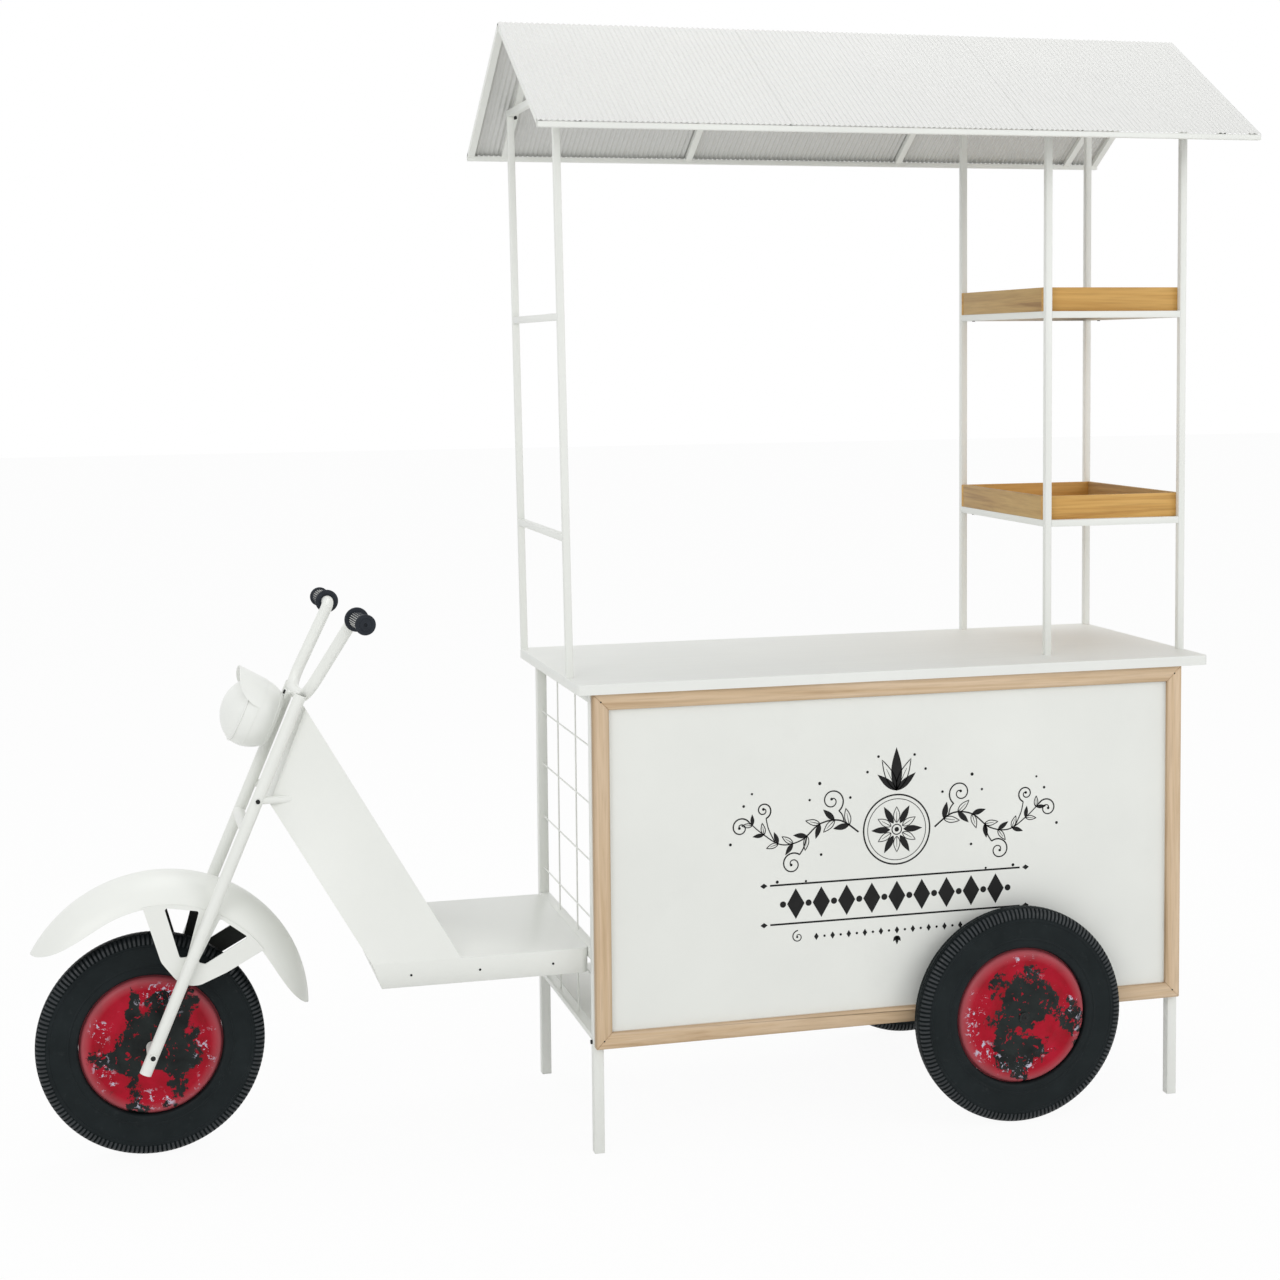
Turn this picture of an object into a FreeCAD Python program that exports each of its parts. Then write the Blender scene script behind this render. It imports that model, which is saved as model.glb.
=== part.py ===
import FreeCAD, Part
import math
import os

V = FreeCAD.Vector
os.makedirs("parts", exist_ok=True)

# ---------------------------------------------------------------- driving dimensions, mm
# Axes while building: X along the cart from the counter's left end, Y away from the
# customer's side (the panel side is -Y), Z up from the floor.

# counter
counter_length = 1250.0
counter_depth = 542.0
counter_height = 870.0
counter_thickness = 19.0
counter_corner = 10.0
counter_edge = 2.5

# leg frames under the counter
leg_size = 19.0
leg_wall = 1.5
leg_inset_left = 27.0
leg_inset_right = 50.0
leg_inset_side = 24.5
top_rail_height = 19.0
mid_rail_height = 19.0
low_rail_height = 10.0
mid_rail_top = 376.0
shelf_thickness = 10.0
axle_rail_height = 25.0

# wire grids in the two ends of the cart
wire_diameter = 3.0
grid_upright_y = 79.0
grid_cross_spacing = 106.5
grid_cross_first = 105.0
grid_cross_count = 6

# framed front panel
frame_width = 30.0
frame_thickness = 15.0
frame_inset = 2.0
frame_bottom = 198.0
panel_thickness = 7.0

# footboard and leg shield
footboard_half_width = 215.0
footboard_thickness = 45.0
footboard_front_x = -369.0
footboard_nose_rake = 16.0
footboard_corner = 15.0
sheet_wall = 1.5
shield_foot_length = 160.0
shield_top_half_width = 77.0
shield_front_top_x = -533.0
shield_front_top_z = 652.0
shield_rear_top_x = -465.0
shield_rear_top_z = 822.0

# posts and rungs above the counter
post_size = 13.0
post_wall = 1.2
post_inset_end = 1.0
post_front_inset = 98.0
post_back_inset = 6.0
post_lean = 14.0
post_socket = 2.0
tower_width = 297.5
lower_rail_top = 1133.0
upper_rail_top = 1536.5

# wooden trays
tray_height = 46.0
tray_board = 10.0
tray_floor = 6.0

# roof, centred over the posts
roof_overhang_left = 69.0
roof_overhang_right = 79.0
roof_half_depth = 359.0
roof_eave_z = 1856.0
roof_ridge_z = 2084.0
corrugation_pitch = 10.2
corrugation_depth = 2.6
roof_sheet_gauge = 0.8
roof_sheet_count = 3
sheet_joint_gap = 0.4
roof_bar = 10.0
roof_bar_width = 13.0
tie_height = 12.0
tie_drop = 7.0

# front fork and handlebar
fork_tube = 22.0
fork_wall = 1.6
fork_foot_reach = 35.0
fork_rake = 23.3
fork_top_z = 849.0
fork_cross_z = 608.0
stub_diameter = 14.0
stub_z = 660.0
stub_reach = 90.0
bar_tube = 22.0
bar_base_z = 841.0
bar_base_x = -473.0
bar_rise = 150.0
bar_setback = 85.5
bar_foot_y = 86.0
bar_knee_y = 137.0
bar_end_y = 246.0
bar_bend = 24.0
bar_foot_bend = 60.0
bar_turn = 3.2
grip_length = 92.0
grip_diameter = 29.0
grip_flange_diameter = 44.0
grip_end_diameter = 37.0
grip_flange_thickness = 6.0
grip_lip = 4.0

# headlamp on the fork
lamp_radius = 65.0
lens_bulge = 36.0
lamp_x = -557.0
lamp_z = 810.0
lamp_wall = 1.5
lens_plane = 20.0
lamp_back_plane = 44.0
visor_back = 6.0
visor_sweep = 57.5
visor_rise = 72.5
visor_bite = 0.8
bracket_width = 26.0
bracket_thickness = 3.0
bracket_drop = 25.0
bracket_rise = 60.0

# front fender and its struts
fender_radius = 265.0
fender_center_dx = 22.7
fender_center_dz = 54.8
fender_section_radius = 78.0
fender_depth = 52.0
fender_wall = 1.5
fender_front_angle = 151.0
fender_front_taper = 31.0
fender_rear_angle = 0.0
fender_rear_taper = 33.0
strut_thickness = 3.0
strut_front_angle = 99.0
strut_rear_angle = 34.0
strut_arm_angle = 10.0
strut_bite = 1.0
strut_lap = 4.0
strut_bridge = 1.5
strut_corner = 34.0
strut_hole_corner = 4.0
strut_foot_z = 326.0
strut_knee_z = 373.0
leg_bite = 0.6

# wheels, all three alike
wheel_radius = 206.0
tyre_width = 46.0
tyre_bore = 130.0
disc_wall = 1.5
disc_lip = 11.0
disc_dish = 4.0
hub_diameter = 30.0
hub_length = 56.0
axle_diameter = 12.0
axle_clearance = 0.05
running_gap = 0.3
front_wheel_x = -751.0
side_wheel_x = 842.0
side_wheel_y = 296.0
collar_diameter = 20.0
axle_head_diameter = 14.0
axle_head_height = 6.0
screw_diameter = 8.0
screw_height = 3.0

# ---------------------------------------------------------------- places worked out from them
counter_bottom = counter_height - counter_thickness
counter_half = counter_depth / 2
leg_left_x = leg_inset_left
leg_right_x = counter_length - leg_inset_right - leg_size
leg_front_y = -counter_half + leg_inset_side
leg_back_y = counter_half - leg_inset_side - leg_size
leg_inner_front = leg_front_y + leg_size
leg_inner_back = leg_back_y
axle_z = wheel_radius
shelf_top = axle_z + axle_rail_height / 2
post_front_y = -counter_half + post_front_inset
post_back_y = counter_half - post_back_inset - post_size
left_post_x = post_inset_end
tower_right_x = counter_length - post_inset_end - post_size
tower_left_x = counter_length - post_inset_end - tower_width
roof_x0 = -roof_overhang_left
roof_x1 = counter_length + roof_overhang_right
post_mid_y = (post_front_y + post_back_y + post_size) / 2
roof_angle = math.atan2(roof_ridge_z - roof_eave_z - roof_bar, roof_half_depth)
tie_top = roof_ridge_z - (post_back_y + post_size - post_mid_y) * math.tan(roof_angle) - tie_drop
tie_bottom = tie_top - tie_height
post_foot_z = counter_height - post_socket
rake = math.radians(fork_rake)
fork_dir = V(math.sin(rake), 0, math.cos(rake))
fender_half = math.sqrt(fender_section_radius ** 2 - (fender_section_radius - fender_depth) ** 2)
strut_inner = fender_half - strut_bite
strut_outer = strut_inner + strut_thickness
fork_half = strut_outer + fork_tube / 2 - leg_bite
fender_cx = front_wheel_x + fender_center_dx
fender_cz = axle_z + fender_center_dz
parts = {}


# ---------------------------------------------------------------- helpers
def box(x0, x1, y0, y1, z0, z1):
    return Part.makeBox(x1 - x0, y1 - y0, z1 - z0, V(x0, y0, z0))


def cylinder(radius, start, end):
    start = V(start)
    end = V(end)
    return Part.makeCylinder(radius, (end - start).Length, start, end - start)


def square_tube(x0, x1, y0, y1, z0, z1, wall, along):
    """A hollow rectangular tube, open at both ends along the named axis."""
    inner = {"x": (x0, x1, y0 + wall, y1 - wall, z0 + wall, z1 - wall),
             "y": (x0 + wall, x1 - wall, y0, y1, z0 + wall, z1 - wall),
             "z": (x0 + wall, x1 - wall, y0 + wall, y1 - wall, z0, z1)}[along]
    return box(x0, x1, y0, y1, z0, z1).cut(box(*inner))


def round_tube(diameter, wall, start, end):
    outer = cylinder(diameter / 2, start, end)
    return outer.cut(cylinder(diameter / 2 - wall, start, end))


def face_from_points(points):
    return Part.Face(Part.makePolygon(points + [points[0]]))


def prism_xz(points, y0, y1):
    """A plate cut to an outline in the X-Z plane, from y0 to y1."""
    face = face_from_points([V(x, y0, z) for x, z in points])
    return face.extrude(V(0, y1 - y0, 0))


def round_corners(plate, radius, below):
    """Round the corners of a plate of even thickness along Y, as far as they lie below a height."""
    corners = [e for e in plate.Edges if e.BoundBox.XLength < 0.01 and e.BoundBox.ZLength < 0.01
               and e.BoundBox.ZMax < below]
    return plate.makeFillet(radius, corners)


def solid_of(shape):
    solids = shape.Solids
    return solids[0] if len(solids) == 1 else Part.makeCompound(solids)


def group(shapes):
    solids = []
    for shape in shapes:
        solids += shape.Solids
    return Part.makeCompound(solids)


def mirror_y(shape):
    return shape.mirror(V(0, 0, 0), V(0, 1, 0))


def revolve_about_y(points, cx, cz, degrees=360.0):
    """Turn a closed outline, given as (radius, y), about the line x=cx, z=cz along Y."""
    outline = face_from_points([V(cx + r, y, cz) for r, y in points])
    return outline.revolve(V(cx, 0, cz), V(0, 1, 0), degrees)


def bent_path(points, bends):
    """Straight runs joined by tangent arcs, one bend radius for each inner point."""
    edges = []
    last = V(points[0])
    for i, bend in enumerate(bends, 1):
        corner = V(points[i])
        back = (V(points[i - 1]) - corner).normalize()
        ahead = (V(points[i + 1]) - corner).normalize()
        half_turn = (math.pi - back.getAngle(ahead)) / 2
        reach = bend * math.tan(half_turn)
        start = corner + back * reach
        end = corner + ahead * reach
        bisector = (back + ahead).normalize()
        middle = corner + bisector * (bend / math.cos(half_turn) - bend)
        edges.append(Part.LineSegment(last, start).toShape())
        edges.append(Part.Arc(start, middle, end).toShape())
        last = end
    edges.append(Part.LineSegment(last, V(points[-1])).toShape())
    return Part.Wire(edges)


def pipe(points, bends, radius):
    path = bent_path(points, bends)
    direction = V(points[1]) - V(points[0])
    ring = Part.Wire(Part.Circle(V(points[0]), direction, radius).toShape())
    return Part.Solid(path.makePipeShell([ring], True, False))


# ---------------------------------------------------------------- counter and leg frames
def make_counter():
    slab = box(0, counter_length, -counter_half, counter_half, counter_bottom, counter_height)
    uprights = [e for e in slab.Edges if abs(e.tangentAt(e.FirstParameter).z) > 0.99]
    slab = slab.makeFillet(counter_corner, uprights)
    rims = [e for e in slab.Edges if abs(e.BoundBox.ZMax - counter_height) < 0.01
            and e.BoundBox.ZLength < 0.01]
    slab = slab.makeFillet(counter_edge, rims)
    for x, y, lean in post_places().values():
        slab = slab.cut(post_block(x, y, lean, 0.0))
    parts["counter_top"] = slab


def make_legs():
    places = {"leg_front_left": (leg_left_x, leg_front_y), "leg_back_left": (leg_left_x, leg_back_y),
              "leg_front_right": (leg_right_x, leg_front_y), "leg_back_right": (leg_right_x, leg_back_y)}
    for name, (x, y) in places.items():
        parts[name] = square_tube(x, x + leg_size, y, y + leg_size, 0, counter_bottom, leg_wall, "z")


def make_end_rails():
    for name, x in (("side_rails_left", leg_left_x), ("side_rails_right", leg_right_x)):
        levels = ((counter_bottom, top_rail_height), (mid_rail_top, mid_rail_height),
                  (shelf_top, low_rail_height))
        rails = []
        for top, height in levels:
            rails.append(square_tube(x, x + leg_size, leg_inner_front, leg_inner_back,
                                     top - height, top, leg_wall, "y"))
        parts[name] = group(rails)


def make_long_rails():
    rails = []
    for y in (leg_front_y, leg_back_y):
        rails.append(square_tube(leg_left_x + leg_size, leg_right_x, y, y + leg_size,
                                 counter_bottom - top_rail_height, counter_bottom, leg_wall, "x"))
        low = square_tube(leg_left_x + leg_size, leg_right_x, y, y + leg_size,
                          shelf_top - axle_rail_height, shelf_top, leg_wall, "x")
        bore = cylinder(axle_diameter / 2, V(side_wheel_x, y, axle_z),
                        V(side_wheel_x, y + leg_size, axle_z))
        rails.append(low.cut(bore))
    parts["long_rails"] = group(rails)


def make_shelf():
    parts["bottom_shelf"] = box(leg_left_x + leg_size, leg_right_x, leg_inner_front, leg_inner_back,
                                shelf_top - shelf_thickness, shelf_top)


def make_grids():
    radius = wire_diameter / 2
    for name, x in (("side_grid_left", leg_left_x + leg_size / 2),
                    ("side_grid_right", leg_right_x + leg_size / 2)):
        panes = ((mid_rail_top, counter_bottom - top_rail_height),
                 (shelf_top, mid_rail_top - mid_rail_height))
        nets = []
        for low, high in panes:
            wires = [cylinder(radius, V(x, y, low), V(x, y, high)) for y in (-grid_upright_y, grid_upright_y)]
            for i in range(grid_cross_count):
                z = counter_bottom - grid_cross_first - i * grid_cross_spacing
                if low + radius < z < high - radius:
                    wires.append(cylinder(radius, V(x, leg_inner_front, z), V(x, leg_inner_back, z)))
            nets.append(wires[0].multiFuse(wires[1:]))
        parts[name] = group(nets)


# ---------------------------------------------------------------- framed front panel
def make_front_panel():
    x0 = leg_left_x + frame_inset
    x1 = leg_right_x + leg_size - frame_inset
    z0 = frame_bottom
    z1 = counter_bottom
    w = frame_width
    y0 = leg_front_y - frame_thickness
    y1 = leg_front_y
    top = prism_xz([(x0, z1), (x1, z1), (x1 - w, z1 - w), (x0 + w, z1 - w)], y0, y1)
    bottom = prism_xz([(x0, z0), (x1, z0), (x1 - w, z0 + w), (x0 + w, z0 + w)], y0, y1)
    left = prism_xz([(x0, z0), (x0 + w, z0 + w), (x0 + w, z1 - w), (x0, z1)], y0, y1)
    right = prism_xz([(x1, z0), (x1, z1), (x1 - w, z1 - w), (x1 - w, z0 + w)], y0, y1)
    slot = collar_diameter / 2 + running_gap
    notch = box(side_wheel_x - slot, side_wheel_x + slot, y0, y1, z0, axle_z)
    notch = notch.fuse(cylinder(slot, V(side_wheel_x, y0, axle_z), V(side_wheel_x, y1, axle_z)))
    parts["panel_frame_top"] = top
    parts["panel_frame_bottom"] = solid_of(bottom.cut(notch))
    parts["panel_frame_left"] = left
    parts["panel_frame_right"] = right
    parts["front_panel"] = box(x0 + w, x1 - w, y1 - panel_thickness, y1, z0 + w, z1 - w)


# ---------------------------------------------------------------- footboard and leg shield
def footboard_block(inset):
    """The board's outer form, or with an inset the space inside its sheet, open below."""
    z1 = mid_rail_top - inset
    z0 = mid_rail_top - footboard_thickness - (1.0 if inset else 0.0)
    x0 = footboard_front_x + inset
    x1 = leg_left_x - inset
    half = footboard_half_width - inset
    rake_here = footboard_nose_rake * (z1 - z0) / footboard_thickness
    block = prism_xz([(x0, z1), (x1, z1), (x1, z0), (x0 + rake_here, z0)], -half, half)
    corners = [e for e in block.Edges if abs(e.tangentAt(e.FirstParameter).z) > 0.99]
    return block.makeFillet(footboard_corner - inset, corners)


def make_footboard():
    parts["footboard"] = solid_of(footboard_block(0.0).cut(footboard_block(sheet_wall)))


def shield_block(inset):
    """The tapering column as a ruled form between its foot and its slanting top."""
    slope = V(shield_rear_top_x - shield_front_top_x, 0, shield_rear_top_z - shield_front_top_z).normalize()
    foot_z = mid_rail_top
    foot_x0 = footboard_front_x + inset * 1.15
    foot_x1 = footboard_front_x + shield_foot_length - inset * 1.15
    foot_half = footboard_half_width - inset
    top_half = shield_top_half_width - inset
    down = V(slope.z, 0, -slope.x) * inset
    front = V(shield_front_top_x, 0, shield_front_top_z) + slope * inset + down
    rear = V(shield_rear_top_x, 0, shield_rear_top_z) - slope * inset + down
    foot = [V(foot_x0, -foot_half, foot_z), V(foot_x1, -foot_half, foot_z),
            V(foot_x1, foot_half, foot_z), V(foot_x0, foot_half, foot_z)]
    top = [V(front.x, -top_half, front.z), V(rear.x, -top_half, rear.z),
           V(rear.x, top_half, rear.z), V(front.x, top_half, front.z)]
    wires = [Part.makePolygon(ring + [ring[0]]) for ring in (foot, top)]
    return Part.makeLoft(wires, True, True)


def make_shield():
    parts["leg_shield"] = solid_of(shield_block(0.0).cut(shield_block(sheet_wall)))


# ---------------------------------------------------------------- fork, handlebar and lamp
def fork_point(z, y=0.0, forward=0.0):
    """A point on the fork's raked line through the axle, pushed forward of it if asked."""
    along = (z - axle_z) / fork_dir.z
    base = V(front_wheel_x, y, axle_z) + fork_dir * along
    return base + V(-fork_dir.z, 0, fork_dir.x) * forward


def bar_points():
    end = V(bar_base_x + bar_setback, -bar_end_y, bar_base_z + bar_rise)
    knee = V(bar_base_x + bar_setback, -bar_knee_y, bar_base_z + bar_rise)
    foot = V(bar_base_x, -bar_foot_y, bar_base_z)
    half = [end, knee, foot]
    return half + [V(p.x, -p.y, p.z) for p in reversed(half)]


def turned(shape):
    """Turn with the handlebar, which is clamped a few degrees off straight."""
    shape = shape.copy()
    shape.rotate(V(bar_base_x, 0, bar_base_z), V(0, 0, 1), bar_turn)
    return shape


def bar_solid(radius):
    bends = (bar_bend, bar_foot_bend, bar_foot_bend, bar_bend)
    return turned(pipe(bar_points(), bends, radius))


def make_handlebar():
    parts["handlebar"] = solid_of(bar_solid(bar_tube / 2).cut(bar_solid(bar_tube / 2 - fork_wall)))


def make_fork():
    bar = bar_solid(bar_tube / 2)
    foot = fork_point(axle_z - fork_foot_reach * fork_dir.z)
    head = fork_point(fork_top_z)
    for name, side in (("fork_leg_near", -1), ("fork_leg_far", 1)):
        y = side * fork_half
        start = V(foot.x, y, foot.z)
        end = V(head.x, y, head.z)
        leg = round_tube(fork_tube, fork_wall, start, end)
        bore = cylinder(axle_diameter / 2, V(front_wheel_x, y - fork_tube, axle_z),
                        V(front_wheel_x, y + fork_tube, axle_z))
        leg = leg.cut(bore).cut(bar)
        parts[name] = max(leg.Solids, key=lambda s: s.Volume)
    cross_at = fork_point(fork_cross_z)
    cross = round_tube(fork_tube, fork_wall, V(cross_at.x, -fork_half, cross_at.z),
                       V(cross_at.x, fork_half, cross_at.z))
    for y in (-fork_half, fork_half):
        cross = cross.cut(cylinder(fork_tube / 2, V(foot.x, y, foot.z), V(head.x, y, head.z)))
    parts["fork_cross_tube"] = max(cross.Solids, key=lambda s: s.Volume)


def make_stubs():
    stubs = []
    shield = shield_block(0.0)
    at = fork_point(stub_z)
    foot = fork_point(axle_z)
    head = fork_point(fork_top_z)
    for side in (-1, 1):
        y = side * fork_half
        stub = round_tube(stub_diameter, fork_wall, V(at.x, y, at.z), V(at.x + stub_reach, y, at.z))
        stub = stub.cut(cylinder(fork_tube / 2, V(foot.x, y, foot.z), V(head.x, y, head.z)))
        stub = stub.cut(shield)
        stubs.append(max(stub.Solids, key=lambda s: s.Volume))
    parts["shield_stubs"] = group(stubs)


def grip_at(side):
    """A grip on one bar end: inner flange, ribbed body, closed outer cap."""
    points = bar_points()
    end = points[0]
    direction = (points[0] - points[1]).normalize()
    inner = end - direction * (grip_length - grip_lip)
    outer = end + direction * grip_lip
    body = cylinder(grip_diameter / 2, inner, outer)
    flange = cylinder(grip_flange_diameter / 2, inner, inner + direction * grip_flange_thickness)
    cap = cylinder(grip_end_diameter / 2, outer - direction * grip_flange_thickness, outer)
    grip = body.fuse(flange).fuse(cap)
    grip = grip.cut(cylinder(bar_tube / 2, inner - direction, end))
    if side > 0:
        grip = mirror_y(grip)
    return turned(grip)


def make_grips():
    parts["grip_near"] = solid_of(grip_at(-1))
    parts["grip_far"] = solid_of(grip_at(1))


def lamp_place(shape):
    """From the lamp's own frame, +X out of the lens and +Z up the fork, to its place."""
    shape = shape.copy()
    shape.rotate(V(0, 0, 0), V(0, 0, 1), 180.0)
    shape.rotate(V(0, 0, 0), V(0, 1, 0), fork_rake)
    shape.translate(V(lamp_x, 0, lamp_z))
    return shape


def ball_zone(radius, x0, x1):
    """The part of a ball about the lamp's centre between two planes across its axis."""
    return Part.makeSphere(radius).common(box(x0, x1, -radius, radius, -radius, radius))


def make_lamp():
    bowl = ball_zone(lamp_radius, -lamp_back_plane, lens_plane)
    bowl = bowl.cut(ball_zone(lamp_radius - lamp_wall, -lamp_back_plane + lamp_wall, lens_plane))
    parts["lamp_bowl"] = lamp_place(solid_of(bowl))
    rim = math.sqrt(lamp_radius ** 2 - lens_plane ** 2)
    dome = (rim ** 2 + lens_bulge ** 2) / (2 * lens_bulge)
    behind = V(dome - lens_bulge - lens_plane, 0, 0)
    lens = ball_zone(dome, lens_plane + behind.x, dome)
    lens = lens.cut(ball_zone(dome - lamp_wall, lens_plane + behind.x, dome))
    lens.translate(-behind)
    parts["lamp_lens"] = lamp_place(solid_of(lens))
    inner = lamp_radius - visor_bite
    front = visor_rise - lamp_wall
    ahead = V(1, 0, 0)
    start = V(-visor_back, 0, 0)
    hood = Part.makeCone(inner + lamp_wall, front + lamp_wall, visor_sweep, start, ahead)
    hood = hood.cut(Part.makeCone(inner, front, visor_sweep, start, ahead))
    hood = hood.cut(Part.makeSphere(lamp_radius))
    reach = 2 * lamp_radius
    crest = visor_rise + 3.5
    keep = cylinder(visor_sweep, V(-visor_back, -reach, crest), V(-visor_back, reach, crest))
    keep = keep.common(box(-visor_back, reach, -reach, reach, 0, crest))
    parts["lamp_visor"] = lamp_place(solid_of(hood.common(keep)))


def make_bracket():
    back = -lamp_back_plane
    strap = lamp_place(box(back - bracket_thickness, back, -bracket_width / 2, bracket_width / 2,
                           -bracket_drop, bracket_rise))
    top = lamp_place(Part.Vertex(back - bracket_thickness / 2, 0, bracket_rise - bracket_thickness)).Point
    tab = box(top.x, bar_base_x, -bracket_width / 2, bracket_width / 2,
              top.z - bracket_thickness, top.z)
    bracket = strap.fuse(tab).cut(bar_solid(bar_tube / 2))
    parts["lamp_bracket"] = max(bracket.Solids, key=lambda s: s.Volume)


# ---------------------------------------------------------------- front fender and its struts
def fender_point(radius, degrees, y=0.0):
    turn = math.radians(degrees)
    return V(fender_cx + radius * math.cos(turn), y, fender_cz + radius * math.sin(turn))


def fender_form(inset):
    """A full ring of the domed section, thinner by the inset."""
    middle = fender_radius - fender_section_radius
    radius = fender_section_radius - inset
    rim = fender_radius - fender_depth - (1.0 if inset else 0.0)
    half = math.sqrt(radius ** 2 - (rim - middle) ** 2)
    arc = Part.Arc(V(fender_cx + rim, -half, fender_cz), V(fender_cx + middle + radius, 0, fender_cz),
                   V(fender_cx + rim, half, fender_cz)).toShape()
    chord = Part.makeLine(V(fender_cx + rim, half, fender_cz), V(fender_cx + rim, -half, fender_cz))
    section = Part.Face(Part.Wire([arc, chord]))
    return section.revolve(V(fender_cx, 0, fender_cz), V(0, 1, 0), 360.0)


def tip_curve(angle, taper):
    """The edge from a tip of the fender to its full depth, which it reaches without a corner."""
    points = []
    for i in range(11):
        t = i / 10
        depth = fender_depth * (1 - (1 - t) ** 2)
        points.append(fender_point(fender_radius - depth, angle + taper * t * (0.45 + 0.55 * t)))
    return points


def make_fender():
    ring = fender_form(0.0).cut(fender_form(fender_wall))
    wide = fender_section_radius
    far = fender_radius * 1.5
    outline = tip_curve(fender_front_angle, -fender_front_taper)
    outline.append(fender_point(0, 0))
    outline += reversed(tip_curve(fender_rear_angle, fender_rear_taper))
    outline += [fender_point(far, fender_rear_angle + 5),
                fender_point(far * 1.3, (fender_front_angle + fender_rear_angle) / 2),
                fender_point(far, fender_front_angle - 5)]
    keep = prism_xz([(p.x, p.z) for p in outline], -wide, wide)
    parts["front_fender"] = solid_of(ring.common(keep))


def make_struts():
    rim = fender_radius - fender_depth
    top = rim + strut_lap
    hole_top = rim - strut_bridge
    step = strut_arm_angle
    span = strut_front_angle - strut_rear_angle
    gap = (span - 3.1 * step) / 2
    first = strut_front_angle - step
    middle = first - gap
    last = middle - 1.1 * step - gap
    knee = fork_point(strut_knee_z).x
    foot = fork_point(strut_foot_z).x
    outline = [fender_point(top, strut_front_angle - span * i / 12) for i in range(13)]
    outline += [V(foot + 84, 0, strut_foot_z + 20), V(foot + 35, 0, strut_foot_z),
                V(foot + 18, 0, strut_foot_z), V(foot - 5, 0, strut_foot_z + 10),
                V(knee - 53, 0, strut_knee_z)]
    outline = [(p.x, p.z) for p in outline]
    front_hole = [fender_point(hole_top, first), fender_point(hole_top, middle),
                  V(knee - 7, 0, strut_knee_z + 6), V(knee - 20, 0, strut_knee_z + 6)]
    rear_hole = [fender_point(hole_top, middle - 1.1 * step), fender_point(hole_top, last),
                 V(knee + 25, 0, strut_knee_z - 9), V(knee + 12, 0, strut_knee_z - 5)]
    ring = fender_form(0.0)
    foot_end = fork_point(axle_z)
    head_end = fork_point(fork_top_z)
    for name, side in (("fender_strut_near", -1), ("fender_strut_far", 1)):
        low = min(side * strut_inner, side * strut_outer)
        high = low + strut_thickness
        plate = round_corners(prism_xz(outline, low, high), strut_corner, strut_knee_z + 1)
        for hole in (front_hole, rear_hole):
            opening = prism_xz([(p.x, p.z) for p in hole], low, high)
            plate = plate.cut(round_corners(opening, strut_hole_corner, fender_cz + rim))
        plate = plate.cut(ring)
        plate = plate.cut(cylinder(fork_tube / 2, V(foot_end.x, side * fork_half, foot_end.z),
                                   V(head_end.x, side * fork_half, head_end.z)))
        parts[name] = max(plate.Solids, key=lambda s: s.Volume)


# ---------------------------------------------------------------- wheels and axles
def thick_outline(points, wall):
    """Close a bent line into a strip of even wall, on the side of smaller radius and height."""
    inner = []
    for i, (r, y) in enumerate(points):
        before = points[max(i - 1, 0)]
        after = points[min(i + 1, len(points) - 1)]
        first = math.atan2(y - before[1], r - before[0]) if i else None
        last = math.atan2(after[1] - y, after[0] - r) if i < len(points) - 1 else None
        first = last if first is None else first
        last = first if last is None else last
        middle = (first + last) / 2 - math.pi / 2
        reach = wall / math.cos((last - first) / 2)
        inner.append((r + reach * math.cos(middle), y + reach * math.sin(middle)))
    return points + inner[::-1]


def make_tyre(cx, cy):
    half = tyre_width / 2
    bead = half - 5.0
    tread = half - 11.0
    shoulder = 20.0
    b0 = V(cx + tyre_bore, cy - bead, axle_z)
    b1 = V(cx + tyre_bore + 14, cy - half, axle_z)
    b2 = V(cx + wheel_radius - shoulder, cy - half, axle_z)
    b3 = V(cx + wheel_radius - 1, cy - tread, axle_z)
    turn = V(cx + wheel_radius - shoulder * 0.32, cy - half + 2.6, axle_z)
    crown = V(cx + wheel_radius, cy, axle_z)
    up = [V(p.x, 2 * cy - p.y, p.z) for p in (b0, b1, b2, b3, turn)]
    edges = [Part.makeLine(b0, b1), Part.makeLine(b1, b2), Part.Arc(b2, turn, b3).toShape(),
             Part.Arc(b3, crown, up[3]).toShape(), Part.Arc(up[3], up[4], up[2]).toShape(),
             Part.makeLine(up[2], up[1]), Part.makeLine(up[1], up[0]), Part.makeLine(up[0], b0)]
    section = Part.Face(Part.Wire(edges))
    return section.revolve(V(cx, cy, axle_z), V(0, 1, 0), 360.0)


def make_discs(cx, cy):
    hub = hub_diameter / 2
    face = hub_length / 2 - 1.0
    rim = tyre_bore
    low = face - disc_dish
    line = [(hub, face), (rim * 0.42, face), (rim * 0.50, low), (rim * 0.60, low),
            (rim * 0.68, face - 1.0), (rim * 0.90, face - 2.0), (rim * 0.97, face - 6.0),
            (rim, face - 11.0), (rim, face - 11.0 - disc_lip)]
    strip = thick_outline(line, disc_wall)
    discs = []
    for side in (-1, 1):
        discs.append(revolve_about_y([(r, cy + side * y) for r, y in strip], cx, axle_z))
    return group(discs)


def make_hub(cx, cy):
    half = hub_length / 2
    hub = cylinder(hub_diameter / 2, V(cx, cy - half, axle_z), V(cx, cy + half, axle_z))
    return hub.cut(cylinder(axle_diameter / 2 + axle_clearance, V(cx, cy - half, axle_z),
                            V(cx, cy + half, axle_z)))


def make_wheels():
    places = {"front_wheel": (front_wheel_x, 0.0), "side_wheel_near": (side_wheel_x, -side_wheel_y),
              "side_wheel_far": (side_wheel_x, side_wheel_y)}
    for name, (cx, cy) in places.items():
        parts[name + "_tyre"] = make_tyre(cx, cy)
        parts[name + "_discs"] = make_discs(cx, cy)
        parts[name + "_hub"] = make_hub(cx, cy)


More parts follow.
